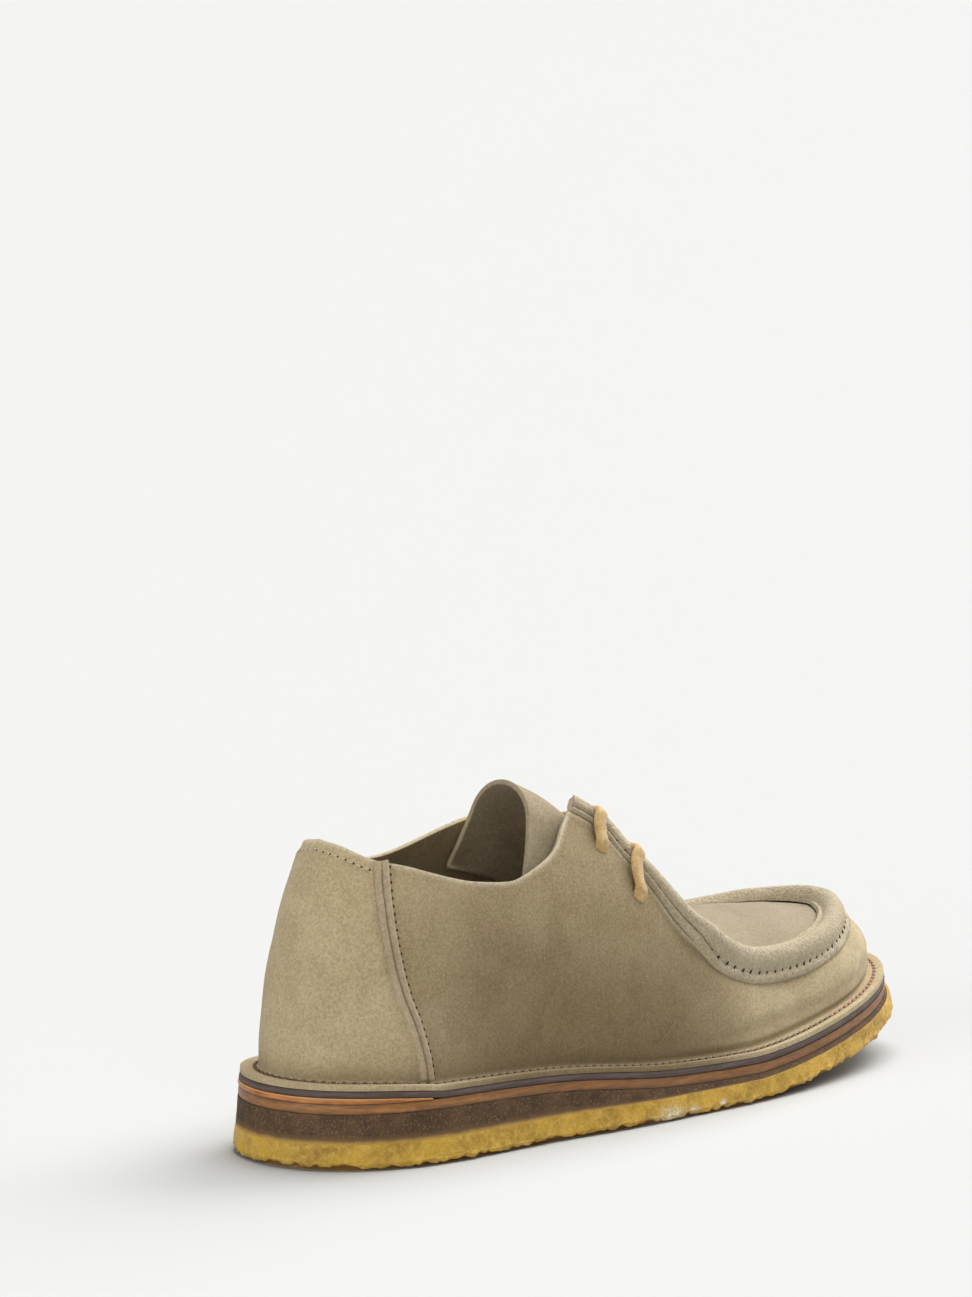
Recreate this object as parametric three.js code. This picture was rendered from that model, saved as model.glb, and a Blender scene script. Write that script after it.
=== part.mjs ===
// A low desert boot for the right foot, with a moccasin toe and two pairs of lace holes.
// The suede upper is turned outward at the bottom and stitched down onto a dark rand, a leather
// midsole, a cork wedge and a crepe outsole. Millimetres. +X runs to the toe, +Y to the inner
// (medial) side, +Z is up. The origin lies on the ground under the middle of the heel.
import * as THREE from 'three';
import { mergeVertices } from 'three/addons/utils/BufferGeometryUtils.js';

// Driving sizes of the last and of the sole's plan
const shoeLength = 304;
const ballWidth = 102;
const heelWidth = 79;
const heelCentre = 38;
const toeSwing = 4;
const flangeWidth = 6.5;
const coneHeight = 105;
const toeSpring = 15.5;
const springStart = 0.64;
const springBend = 1.35;

// Leather, layers and the running gap that curved pieces keep
const wall = 1.8;
const gap = 0.3;
const plugGap = 0.5;
const randThickness = 2.0;
const heelRandThickness = 1.9;
const midsoleThickness = 3.2;
const wedgeAtHeel = 10;
const wedgeAtToe = 1.4;
const crepeAtHeel = 9.2;
const crepeAtToe = 8.2;
const crepeFlare = 2.4;
const crepeFlareAtToe = 4;
const crepeBevel = 2;
const insoleThickness = 2.4;

// Moccasin roll, facing strip, tongue, heel seams and lace
const rollWidth = 9;
const rollHeight = 6;
const rollBorder = 3.2;
const rollLip = 1.3;
const stripWidth = 6;
const stripHeight = 2;
const tongueThickness = 1.7;
const tongueWidth = 80;
const tongueSwing = -2;
const tongueSteepest = 1.28;
const seamWidth = 5.5;
const seamHeight = 1.3;
const laceWidth = 4.3;
const laceThickness = 2.2;
const laceHole = 5;

// Plan of the sole. Half widths are shares of the heel or ball width, before the ends are rounded.
// Columns: t (0 heel, 1 toe), lateral, medial
const outlineRows = [
  [0.0, 0.95, 0.95],
  [0.1, 0.91, 0.9],
  [0.2, 0.805, 0.755],
  [0.3, 0.665, 0.6],
  [0.4, 0.515, 0.415],
  [0.5, 0.47, 0.39],
  [0.6, 0.505, 0.515],
  [0.7, 0.54, 0.585],
  [0.8, 0.575, 0.64],
  [0.9, 0.59, 0.68],
  [1.0, 0.6, 0.69],
];

// Wedge and crepe between heel and forefoot. Columns: t, share of the heel's thickness
const wedgeRows = [
  [0.0, 1.0],
  [0.1, 1.0],
  [0.2, 0.98],
  [0.3, 0.92],
  [0.4, 0.7],
  [0.5, 0.2],
  [0.6, 0.03],
  [0.7, 0.0],
  [1.0, 0.0],
];

// Ribs of the last, from the feather edge up to the crest line. Columns: t, crestAt (share of
// length), crest (share of cone height above the seat), swing (share of ball width), rise,
// lean (share of ball width), reach
const ribRows = [
  [0.0, 0.165, 1.0, 0.0, 0.25, 0.01, 0.7],
  [0.1, 0.178, 1.0, 0.0, 0.28, 0.02, 0.7],
  [0.2, 0.215, 1.0, 0.0, 0.34, 0.03, 0.68],
  [0.3, 0.285, 0.985, 0.0, 0.38, 0.035, 0.64],
  [0.4, 0.375, 0.973, 0.0, 0.4, 0.05, 0.6],
  [0.45, 0.44, 0.941, 0.0, 0.4, 0.06, 0.58],
  [0.5, 0.505, 0.847, 0.005, 0.4, 0.07, 0.6],
  [0.55, 0.57, 0.671, 0.02, 0.42, 0.07, 0.66],
  [0.6, 0.625, 0.485, 0.045, 0.46, 0.055, 0.74],
  [0.65, 0.68, 0.41, 0.065, 0.49, 0.045, 0.79],
  [0.7, 0.735, 0.368, 0.075, 0.5, 0.04, 0.8],
  [0.8, 0.82, 0.31, 0.06, 0.54, 0.04, 0.78],
  [0.9, 0.87, 0.272, 0.035, 0.6, 0.035, 0.76],
  [1.0, 0.89, 0.257, 0.01, 0.62, 0.03, 0.75],
];

// Top edge of the upper: the collar up to the facing's corner, then throat and apron hole.
// Columns: t, lateral v, medial v
const collarRows = [
  [0.0, 0.66, 0.66],
  [0.08, 0.64, 0.64],
  [0.16, 0.59, 0.6],
  [0.22, 0.56, 0.56],
  [0.28, 0.52, 0.53],
  [0.32, 0.5, 0.53],
  [0.36, 0.495, 0.57],
  [0.39, 0.53, 0.61],
  [0.412, 0.58, 0.64],
  [0.426, 0.65, 0.665],
  [0.44, 0.72, 0.69],
];
const throatRows = [
  [0.44, 0.72, 0.69],
  [0.47, 0.68, 0.65],
  [0.485, 0.62, 0.6],
  [0.5, 0.575, 0.56],
  [0.515, 0.51, 0.51],
  [0.53, 0.445, 0.46],
  [0.55, 0.405, 0.42],
  [0.57, 0.375, 0.4],
  [0.6, 0.37, 0.4],
  [0.65, 0.37, 0.4],
  [0.7, 0.385, 0.41],
  [0.75, 0.425, 0.44],
  [0.8, 0.49, 0.5],
  [0.85, 0.56, 0.57],
  [0.9, 0.63, 0.63],
  [1.0, 0.7, 0.7],
];
const rollBackT = 0.557;
const apronBackT = 0.59;

// Tongue, from its top to under the apron. Columns: at (share of length), height (share of cone
// height above the seat), radius and halfArc (shares of tongue width)
const tongueRows = [
  [0.37, 0.924, 0.19, 0.5],
  [0.42, 0.868, 0.21, 0.47],
  [0.47, 0.775, 0.24, 0.44],
  [0.52, 0.65, 0.27, 0.41],
  [0.57, 0.52, 0.3, 0.38],
  [0.61, 0.44, 0.34, 0.36],
  [0.65, 0.39, 0.37, 0.34],
];
const tongueSlant = 0.033;

// Lace holes. Columns: t, inset from the throat's edge (share of ball width)
const laceHoleRows = [
  [0.464, 0.08],
  [0.492, 0.12],
];

// Heel seams. Columns: up (share from flange to collar), t
const seamRows = [
  [0.0, 0.242],
  [0.15, 0.235],
  [0.3, 0.222],
  [0.45, 0.204],
  [0.65, 0.187],
  [0.87, 0.173],
  [1.0, 0.167],
];

const lerp = (a, b, s) => a + (b - a) * s;
const clamp01 = (s) => Math.min(1, Math.max(0, s));
const smooth = (a, b, s) => THREE.MathUtils.smoothstep(s, a, b);
const spread = (from, to, count) => Array.from({ length: count + 1 }, (_, i) => lerp(from, to, i / count));

/** A smooth curve through one column of a table, with the first column as its variable. */
function column(rows, index) {
  const slope = rows.map((row, i) => {
    const before = rows[Math.max(0, i - 1)];
    const after = rows[Math.min(rows.length - 1, i + 1)];
    return (after[index] - before[index]) / (after[0] - before[0]);
  });
  return (at) => {
    const s = Math.min(rows[rows.length - 1][0], Math.max(rows[0][0], at));
    let i = 0;
    while (i < rows.length - 2 && s > rows[i + 1][0]) i += 1;
    const span = rows[i + 1][0] - rows[i][0];
    const u = (s - rows[i][0]) / span;
    const u2 = u * u;
    const u3 = u2 * u;
    return (2 * u3 - 3 * u2 + 1) * rows[i][index] + (u3 - 2 * u2 + u) * span * slope[i]
      + (3 * u2 - 2 * u3) * rows[i + 1][index] + (u3 - u2) * span * slope[i + 1];
  };
}

const lateralShare = column(outlineRows, 1);
const medialShare = column(outlineRows, 2);
const wedgeShare = column(wedgeRows, 1);
const crestAt = column(ribRows, 1);
const crestShare = column(ribRows, 2);
const crestSwing = column(ribRows, 3);
const riseShare = column(ribRows, 4);
const leanShare = column(ribRows, 5);
const reachShare = column(ribRows, 6);
const collarV = { [-1]: column(collarRows, 1), 1: column(collarRows, 2) };
const throatV = { [-1]: column(throatRows, 1), 1: column(throatRows, 2) };
const tongueHeight = column(tongueRows, 1);
const tongueRadius = column(tongueRows, 2);
const tongueArc = column(tongueRows, 3);
const seamT = column(seamRows, 1);

/** The value between low and high where a rising test turns true. */
function bisect(low, high, test) {
  let [a, b] = [low, high];
  for (let i = 0; i < 26; i += 1) {
    const mid = (a + b) / 2;
    if (test(mid)) b = mid;
    else a = mid;
  }
  return (a + b) / 2;
}

// Plan of the sole: t runs from 0 at the heel to 1 at the toe; side is -1 lateral and 1 medial
const alongX = (t) => shoeLength * (1 - Math.cos(Math.PI * t)) / 2 - heelCentre;
const shareOfLength = (x) => (x + heelCentre) / shoeLength;
const placeOf = (share) => share * shoeLength - heelCentre;
const planT = (x) => Math.acos(1 - 2 * clamp01(shareOfLength(x))) / Math.PI;
const centreY = (x) => toeSwing * smooth(0.45, 1, shareOfLength(x));

function outline(t, side) {
  const width = lerp(heelWidth, ballWidth, smooth(0.3, 0.5, t));
  const share = side < 0 ? lateralShare(t) : medialShare(t);
  const x = alongX(t);
  return new THREE.Vector2(x, centreY(x) + side * share * width * Math.sin(Math.PI * t));
}

/** A station past the toe or the heel goes on along the other side. */
function around(t, side) {
  if (t > 1) return [2 - t, -side];
  if (t < 0) return [-t, -side];
  return [t, side];
}

const fineStep = 2e-3;

/** A point on the outline, moved outward in plan by grow. */
function edgePoint(t, side, grow) {
  const ahead = outline(...around(t + fineStep, side));
  const behind = outline(...around(t - fineStep, side));
  const along = ahead.sub(behind).normalize();
  return outline(t, side).add(new THREE.Vector2(-side * along.y, side * along.x).multiplyScalar(grow));
}

// Heights of the layers, from the ground up, at a place along the shoe
const heelRandEnd = 0.25;
const heelRandTip = 0.015;
const heelRandFade = (x) => 1 - Math.min(1, planT(x) / heelRandEnd) ** 5;
const springShare = (x) => clamp01((shareOfLength(x) - springStart) / (1 - springStart));
const lift = (x) => toeSpring * springShare(x) ** springBend;
const crepeTop = (x) => lift(x) + lerp(crepeAtToe, crepeAtHeel, wedgeShare(planT(x)));
const wedgeBottom = (x) => crepeTop(x) + gap;
const wedgeTop = (x) => wedgeBottom(x) + lerp(wedgeAtToe, wedgeAtHeel, wedgeShare(planT(x)));
const midsoleBottom = (x) => wedgeTop(x) + gap;
const midsoleTop = (x) => midsoleBottom(x) + midsoleThickness;
const heelRandTop = (x) => midsoleTop(x) + (gap + heelRandThickness) * heelRandFade(x);
const randBottom = (x) => heelRandTop(x) + gap;
const randTop = (x) => randBottom(x) + randThickness;
const flangeBottom = (x) => randTop(x) + gap;
const seat = (x) => flangeBottom(x) + wall;

/** A point on the outside of the last: v is 0 at the feather edge and 1 at the crest. */
function lastPoint(t, side, v) {
  const plan = edgePoint(t, side, -flangeWidth);
  const lean = edgePoint(t, side, leanShare(t) * ballWidth - flangeWidth);
  const foot = new THREE.Vector3(plan.x, plan.y, seat(plan.x));
  const crestX = placeOf(crestAt(t));
  const crestY = centreY(crestX) + crestSwing(t) * ballWidth;
  const crest = new THREE.Vector3(crestX, crestY, seat(crestX) + coneHeight * crestShare(t));
  const shoulder = new THREE.Vector3(lean.x, lean.y, lerp(foot.z, crest.z, riseShare(t)));
  const reach = reachShare(t);
  const brow = new THREE.Vector3(lerp(crest.x, foot.x, reach), lerp(crest.y, foot.y, reach), crest.z);
  const w = 1 - v;
  return foot.multiplyScalar(w * w * w)
    .addScaledVector(shoulder, 3 * w * w * v)
    .addScaledVector(brow, 3 * w * v * v)
    .addScaledVector(crest, v * v * v);
}

/** Outward normal of the last's surface. */
function lastNormal(t, side, v) {
  const at = Math.min(0.97, Math.max(fineStep, v));
  const ahead = lastPoint(...around(t + fineStep, side), at);
  const behind = lastPoint(...around(t - fineStep, side), at);
  const up = lastPoint(t, side, at + fineStep).sub(lastPoint(t, side, at - fineStep));
  return ahead.sub(behind).cross(up).multiplyScalar(-side).normalize();
}

const offsetPoint = (t, side, v, height) => lastPoint(t, side, v).addScaledVector(lastNormal(t, side, v), height);

// The facing's top corner is where the collar's edge ends and the throat's edge begins
const cornerT = throatRows[0][0];
const edgeV = (t, side) => (t < cornerT ? collarV[side](t) : throatV[side](t));
const holeEdge = (t, side) => lastPoint(t, side, edgeV(t, side));

/** The place on a rib that lies at a distance below the upper's top edge. */
function belowEdge(t, side, distance) {
  const top = edgeV(t, side);
  const peak = lastPoint(t, side, top);
  return bisect(0, top, (v) => lastPoint(t, side, v).distanceTo(peak) < distance);
}

/** A closed mesh from vertices and triangles, merged, with its faces out. */
function closedGeometry(vertices, triangles) {
  const raw = new THREE.BufferGeometry();
  raw.setAttribute('position', new THREE.Float32BufferAttribute(vertices.flatMap((p) => [p.x, p.y, p.z]), 3));
  raw.setIndex(triangles.flat());
  const merged = mergeVertices(raw, 1e-4);
  const position = merged.getAttribute('position');
  const index = merged.getIndex().array;
  const [a, b, c] = [new THREE.Vector3(), new THREE.Vector3(), new THREE.Vector3()];
  const kept = [];
  let volume = 0;
  for (let i = 0; i < index.length; i += 3) {
    const corner = [index[i], index[i + 1], index[i + 2]];
    if (new Set(corner).size === 3) {
      kept.push(corner);
      a.fromBufferAttribute(position, corner[0]);
      b.fromBufferAttribute(position, corner[1]);
      c.fromBufferAttribute(position, corner[2]);
      volume += a.dot(b.cross(c));
    }
  }
  merged.setIndex(kept.flatMap((corner) => (volume < 0 ? [corner[0], corner[2], corner[1]] : corner)));
  return merged;
}

/** Two triangles for a quad. */
const quad = (a, b, c, d) => [[a, b, c], [a, c, d]];

/** Outer and inner grids of one size, closed round their border, or at the last row by a seam. */
function shellGeometry(outer, inner, seamAtEnd = false) {
  const rows = outer.length;
  const columns = outer[0].length;
  const at = (layer, i, j) => (layer * rows + i) * columns + j;
  const triangles = [];
  for (let i = 0; i < rows - 1; i += 1) {
    for (let j = 0; j < columns - 1; j += 1) {
      triangles.push(...quad(at(0, i, j), at(0, i + 1, j), at(0, i + 1, j + 1), at(0, i, j + 1)));
      triangles.push(...quad(at(1, i, j), at(1, i, j + 1), at(1, i + 1, j + 1), at(1, i + 1, j)));
    }
    triangles.push(...quad(at(0, i, 0), at(1, i, 0), at(1, i + 1, 0), at(0, i + 1, 0)));
    const last = columns - 1;
    triangles.push(...quad(at(0, i, last), at(0, i + 1, last), at(1, i + 1, last), at(1, i, last)));
  }
  for (let j = 0; j < columns - 1; j += 1) {
    triangles.push(...quad(at(0, 0, j), at(0, 0, j + 1), at(1, 0, j + 1), at(1, 0, j)));
    const last = rows - 1;
    if (!seamAtEnd) {
      triangles.push(...quad(at(0, last, j), at(1, last, j), at(1, last, j + 1), at(0, last, j + 1)));
    }
  }
  return closedGeometry([...outer.flat(), ...inner.flat()], triangles);
}

/** A section swept through open stations and capped by a fan from its first point. */
function sweptGeometry(rings) {
  const count = rings[0].length;
  const end = (rings.length - 1) * count;
  const triangles = [];
  for (let i = 0; i < rings.length - 1; i += 1) {
    for (let j = 0; j < count; j += 1) {
      const k = (j + 1) % count;
      triangles.push(...quad(i * count + j, (i + 1) * count + j, (i + 1) * count + k, i * count + k));
    }
  }
  for (let j = 1; j < count - 1; j += 1) triangles.push([0, j, j + 1], [end + j + 1, end + j, end]);
  return closedGeometry(rings.flat(), triangles);
}

/** A sole layer from closed outlines, each with its growth and its height along the shoe. */
const planSteps = 44;
function layerGeometry(loops, to = 1) {
  const stations = spread(0, to, planSteps);
  const vertices = loops.flatMap(({ grow, height }) => [-1, 1].flatMap((side) => stations.map((t) => {
    const p = edgePoint(t, side, grow(t));
    return new THREE.Vector3(p.x, p.y, height(p.x, t));
  })));
  const per = stations.length;
  const top = loops.length - 1;
  const at = (loop, side, i) => (loop * 2 + side) * per + i;
  const triangles = [];
  for (let i = 0; i < per - 1; i += 1) {
    triangles.push(...quad(at(0, 0, i), at(0, 1, i), at(0, 1, i + 1), at(0, 0, i + 1)));
    triangles.push(...quad(at(top, 0, i), at(top, 0, i + 1), at(top, 1, i + 1), at(top, 1, i)));
    for (let k = 0; k < top; k += 1) {
      triangles.push(...quad(at(k, 0, i), at(k, 0, i + 1), at(k + 1, 0, i + 1), at(k + 1, 0, i)));
      triangles.push(...quad(at(k, 1, i), at(k + 1, 1, i), at(k + 1, 1, i + 1), at(k, 1, i + 1)));
    }
  }
  const last = per - 1;
  for (let k = 0; to < 1 && k < top; k += 1) {
    triangles.push(...quad(at(k, 0, last), at(k, 1, last), at(k + 1, 1, last), at(k + 1, 0, last)));
  }
  return closedGeometry(vertices, triangles);
}

/** Crepe outsole: flat underneath, with a bevelled edge that is higher at the heel's back. */
function outsole() {
  const flare = (t) => lerp(crepeFlare, crepeFlareAtToe, smooth(0.7, 1, t));
  const bevelTop = (t) => crepeBevel * (1.5 + 1 - smooth(0, 0.16, t));
  return layerGeometry([
    { grow: (t) => flare(t) - 2 * crepeBevel, height: lift },
    { grow: (t) => flare(t) - 0.3 * crepeBevel, height: (x, t) => lift(x) + 0.4 * bevelTop(t) },
    { grow: flare, height: (x, t) => lift(x) + bevelTop(t) },
    { grow: (t) => 0.7 * flare(t), height: crepeTop },
  ]);
}

const wedge = () => layerGeometry([
  { grow: () => 0.6 * crepeFlare, height: wedgeBottom },
  { grow: () => 0.3 * crepeFlare, height: wedgeTop },
]);

const midsole = () => layerGeometry([
  { grow: () => 0.25 * crepeFlare, height: midsoleBottom },
  { grow: () => 0.15 * crepeFlare, height: midsoleTop },
]);

/** The leather strip round the heel under the rand, thinned out at the side seams. */
const heelRand = () => layerGeometry([
  { grow: () => 0.25 * crepeFlare, height: (x) => midsoleTop(x) + gap },
  { grow: () => 0.25 * crepeFlare, height: heelRandTop },
], heelRandEnd - heelRandTip);

const rand = () => layerGeometry([
  { grow: () => 0.1 * crepeFlare, height: randBottom },
  { grow: () => 0, height: randTop },
]);

/** Insole board inside the upper's foot. */
function insole() {
  const grow = () => -(flangeWidth + wall + gap);
  return layerGeometry([
    { grow, height: flangeBottom },
    { grow, height: (x) => flangeBottom(x) + insoleThickness },
  ]);
}

// Stations of the upper. The rib at the facing's top corner and those at the lace holes are exact
const wallSteps = 9;
const laceT = laceHoleRows.map(([t]) => t);
const laceInset = (t) => ballWidth * column(laceHoleRows, 1)(t);
const stations = [
  ...spread(0, 1, 17).map((s) => cornerT * (1 - (1 - s) ** 1.5)),
  ...spread(cornerT, laceT[0], 2).slice(1),
  ...spread(laceT[0], laceT[1], 3).slice(1),
  ...spread(laceT[1], 1, 23).slice(1),
];

/** The upper's own stations between two ribs, with both ribs. */
const stationsFrom = (from, to = 1) => {
  const space = fineStep * 2;
  return [from, ...stations.filter((t) => t > from + space && t < to - space), to];
};

/** One closed section of the upper: flange, outer wall, top edge, inner wall. */
function upperRing(t, side) {
  const top = edgeV(t, side);
  const below = belowEdge(t, side, laceInset(t));
  const middle = spread(0, 1, wallSteps - 1).map((s) => s * lerp(below, Math.min(0.5, below), 1 - s * s));
  const levels = [...middle.slice(0, -1), below, top];
  const edge = edgePoint(t, side, 0);
  const inner = edgePoint(t, side, -flangeWidth - wall);
  return [
    new THREE.Vector3(edge.x, edge.y, flangeBottom(edge.x)),
    new THREE.Vector3(edge.x, edge.y, seat(edge.x)),
    ...levels.map((v) => lastPoint(t, side, v)),
    ...levels.slice(1).reverse().map((v) => offsetPoint(t, side, v, -wall)),
    new THREE.Vector3(inner.x, inner.y, flangeBottom(inner.x)),
  ];
}

// The eight neighbours of a grid vertex, in order round it
const neighbours = [[-1, -1], [0, -1], [1, -1], [1, 0], [1, 1], [0, 1], [-1, 1], [-1, 0]];

/** The upper: its section swept once round the foot, with a round lace hole at each lace vertex. */
function upper() {
  const trip = [
    ...stations.map((t) => [t, -1]),
    ...stations.slice(1, -1).reverse().map((t) => [t, 1]),
  ];
  const rings = trip.map(([t, side]) => upperRing(t, side));
  const count = rings[0].length;
  const vertices = rings.flat();
  const triangles = [];
  const outerLevel = 2 + wallSteps - 1;
  const innerLevel = outerLevel + 3;
  const holes = [-1, 1].flatMap((side) => laceT.map((t) => trip.findIndex((s) => s[0] === t && s[1] === side)));
  const nearHole = (i, j) => holes.some((hole) => (i === hole || i === hole - 1)
    && [outerLevel - 1, outerLevel, innerLevel - 1, innerLevel].includes(j));
  const at = (i, j) => ((i + rings.length) % rings.length) * count + (j % count);
  rings.forEach((ring, i) => ring.forEach((point, j) => {
    if (!nearHole(i, j)) triangles.push(...quad(at(i, j), at(i + 1, j), at(i + 1, j + 1), at(i, j + 1)));
  }));
  for (const hole of holes) {
    const rims = [outerLevel, innerLevel].map((level) => {
      const centre = rings[hole][level];
      const start = vertices.length;
      neighbours.forEach(([di, dj]) => {
        const out = vertices[at(hole + di, level + dj)].clone().sub(centre).setLength(laceHole / 2);
        vertices.push(centre.clone().add(out));
      });
      for (let m = 0; m < 8; m += 1) {
        const n = (m + 1) % 8;
        const [a, b] = [m, n].map((k) => at(hole + neighbours[k][0], level + neighbours[k][1]));
        triangles.push(...quad(a, b, start + n, start + m));
      }
      return start;
    });
    for (let m = 0; m < 8; m += 1) {
      const n = (m + 1) % 8;
      const [innerM, innerN] = [m, n].map((k) => rims[1] + (14 - k) % 8);
      triangles.push(...quad(rims[0] + m, rims[0] + n, innerN, innerM));
    }
  }
  return closedGeometry(vertices, triangles);
}

/** A frame at the hole's edge: the point, the way into the hole, the way forward, the normal. */
function edgeFrame(t, side) {
  const normal = lastNormal(t, side, edgeV(t, side));
  const ahead = holeEdge(...around(t + fineStep, side));
  const behind = holeEdge(...around(t - fineStep, side));
  const along = ahead.sub(behind).normalize();
  const inward = along.clone().cross(normal).multiplyScalar(side).normalize();
  return { point: holeEdge(t, side), inward, along, normal };
}

function framePoint({ point, inward, normal }, across, height) {
  return point.clone().addScaledVector(inward, across).addScaledVector(normal, height);
}

/** The plug of the moccasin toe: the last's surface from the hole's edge over the crest. */
function apron() {
  const across = spread(0, 1, 5);
  const grid = (height) => stationsFrom(apronBackT).map((t) => {
    const [lateral, medial] = [-1, 1].map((side) => {
      const low = 2 * edgeV(t, side) - belowEdge(t, side, plugGap);
      return across.map((s) => offsetPoint(t, side, lerp(low, 1, s), height));
    });
    return [...lateral, ...medial.slice(0, -1).reverse()];
  });
  return shellGeometry(grid(0), grid(-wall), true);
}

/** The rolled seam: a lip over the upper's edge and a round ridge over the plug's edge. */
function apronRoll() {
  const section = [
    [0.4 * rollWidth, gap],
    [-rollBorder, gap],
    [-rollBorder, gap + rollLip],
    [-0.15 * rollBorder, gap + 1.3 * rollLip],
    [0.05 * rollWidth, 0.7 * rollHeight],
    [0.25 * rollWidth, 0.94 * rollHeight],
    [0.48 * rollWidth, rollHeight],
    [0.75 * rollWidth, 0.86 * rollHeight],
    [0.95 * rollWidth, 0.5 * rollHeight],
    [rollWidth, gap],
  ];
  const trip = [
    ...stationsFrom(rollBackT).map((t) => [t, -1]),
    ...stationsFrom(rollBackT).slice(0, -1).reverse().map((t) => [t, 1]),
  ];
  return sweptGeometry(trip.map(([t, side]) => {
    const frame = edgeFrame(t, side);
    return section.map(([across, height]) => framePoint(frame, across, height));
  }));
}

/** Width and height of the facing strip, which grows into the rolled seam. */
function stripSize(t) {
  const growth = smooth(0.35, 1, (t - cornerT) / (rollBackT - cornerT));
  return [lerp(stripWidth, rollWidth, growth), lerp(stripHeight, 0.8 * rollHeight, growth)];
}

/** The raised strip inside the throat's edge, from the top corner down to the rolled seam. */
function facingStrip(side) {
  const speed = holeEdge(rollBackT, side).distanceTo(holeEdge(rollBackT - fineStep, side)) / fineStep;
  return sweptGeometry(stationsFrom(cornerT + fineStep, rollBackT - 2 * gap / speed).map((t) => {
    const [width, height] = stripSize(t);
    const frame = edgeFrame(t, side);
    return [
      framePoint(frame, gap, -0.5 * wall),
      framePoint(frame, gap, 0.7 * height),
      framePoint(frame, 0.25 * width, height),
      framePoint(frame, 0.75 * width, 0.95 * height),
      framePoint(frame, width, 0.5 * height),
      framePoint(frame, width, -0.5 * wall),
    ];
  }));
}

/** The raised seam between heel panel and quarter, from the flange to the collar. */
function heelSeam(side) {
  const across = [-0.5, -0.3, 0.3, 0.5];
  const rise = [gap + 0.4 * seamHeight, gap + seamHeight, gap + seamHeight, gap + 0.4 * seamHeight];
  const stations = spread(0.035, 0.985, 16).map((up) => {
    const t = seamT(up);
    return [t, up * edgeV(t, side)];
  });
  const grid = (heights) => stations.map(([t, v]) => {
    const speed = lastPoint(t + fineStep, side, v).distanceTo(lastPoint(t, side, v)) / fineStep;
    return across.map((s, j) => offsetPoint(t + s * seamWidth / speed, side, v, heights[j]));
  });
  return shellGeometry(grid(rise), grid(rise.map(() => gap)));
}

/** The highest point of the tongue's section at a share of the length. */
function tonguePeak(at) {
  const x = placeOf(at);
  return new THREE.Vector3(x, centreY(x) + tongueSwing, seat(x) + coneHeight * tongueHeight(at));
}

/** The tongue: an arched sheet, steep at its top behind the facing and flatter under the plug. */
function tongue() {
  const first = tongueRows[0][0];
  const last = tongueRows[tongueRows.length - 1][0];
  const grid = (sunk) => spread(first, last, 15).map((at) => {
    const radius = tongueWidth * tongueRadius(at);
    const inner = radius - sunk;
    return spread(-1, 1, 16).map((s) => {
      const arc = Math.abs(s) * tongueWidth * tongueArc(at);
      const angle = Math.min(tongueSteepest, arc / radius);
      const leg = Math.max(0, arc - tongueSteepest * radius);
      const across = inner * Math.sin(angle) + leg * Math.cos(tongueSteepest);
      const drop = inner * (1 - Math.cos(angle)) + leg * Math.sin(tongueSteepest) + sunk;
      const slant = -tongueSlant * shoeLength * s * s;
      return tonguePeak(at).add(new THREE.Vector3(slant, Math.sign(s) * across, -drop));
    });
  });
  return shellGeometry(grid(0), grid(tongueThickness));
}

/** One bar of the lace: from just above one hole, over both strips, down to the tongue between. */
function laceBar(t) {
  const low = gap + laceThickness / 2;
  const [width, height] = stripSize(t);
  const high = height + low;
  const reachOf = (side) => {
    const frame = edgeFrame(t, side);
    return [
      offsetPoint(t, side, belowEdge(t, side, laceInset(t)), low),
      framePoint(frame, -0.3 * laceInset(t), lerp(low, high, 0.7)),
      framePoint(frame, 0.4 * width, high),
      framePoint(frame, width + laceThickness, high - 0.2 * laceThickness),
    ];
  };
  const [lateral, medial] = [reachOf(-1), reachOf(1)];
  const middle = tonguePeak(shareOfLength((lateral[3].x + medial[3].x) / 2));
  middle.z += low + gap;
  const curve = new THREE.CatmullRomCurve3([...lateral, middle, ...medial.reverse()], false, 'centripetal');
  const forward = edgeFrame(t, -1).along.setY(0).normalize();
  const section = spread(0, 2 * Math.PI, 8).slice(0, -1)
    .map((angle) => [Math.cos(angle) * laceWidth / 2, Math.sin(angle) * laceThickness / 2]);
  return sweptGeometry(spread(0, 1, 22).map((s) => {
    const point = curve.getPointAt(s);
    const normal = curve.getTangentAt(s).cross(forward).normalize();
    return section.map(([a, b]) => point.clone().addScaledVector(forward, a).addScaledVector(normal, b));
  }));
}

const group = new THREE.Group();
function add(name, geometry, color, roughness) {
  const material = new THREE.MeshStandardMaterial({ color, roughness, metalness: 0 });
  const mesh = new THREE.Mesh(geometry, material);
  mesh.name = name;
  group.add(mesh);
}

add('outsole', outsole(), 0xb48f45, 0.8);
add('wedge', wedge(), 0x4b3c31, 0.85);
add('midsole', midsole(), 0x9a6238, 0.6);
add('heel_rand', heelRand(), 0xa96a3a, 0.6);
add('rand', rand(), 0x54433b, 0.7);
add('insole', insole(), 0xa6947a, 0.8);
add('upper', upper(), 0xa39474, 0.95);
add('apron', apron(), 0xa8987a, 0.95);
add('apron_roll', apronRoll(), 0xa89a78, 0.95);
add('tongue', tongue(), 0x84735a, 0.95);
add('facing_strip_lateral', facingStrip(-1), 0xa89a78, 0.95);
add('facing_strip_medial', facingStrip(1), 0xa89a78, 0.95);
add('heel_seam_lateral', heelSeam(-1), 0xa39474, 0.95);
add('heel_seam_medial', heelSeam(1), 0xa39474, 0.95);
add('lace_upper', laceBar(laceT[0]), 0xd3b377, 0.9);
add('lace_lower', laceBar(laceT[1]), 0xd3b377, 0.9);

export default group;
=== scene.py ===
"""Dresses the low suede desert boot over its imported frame. Lengths are millimetres until a mesh is made."""

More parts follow.
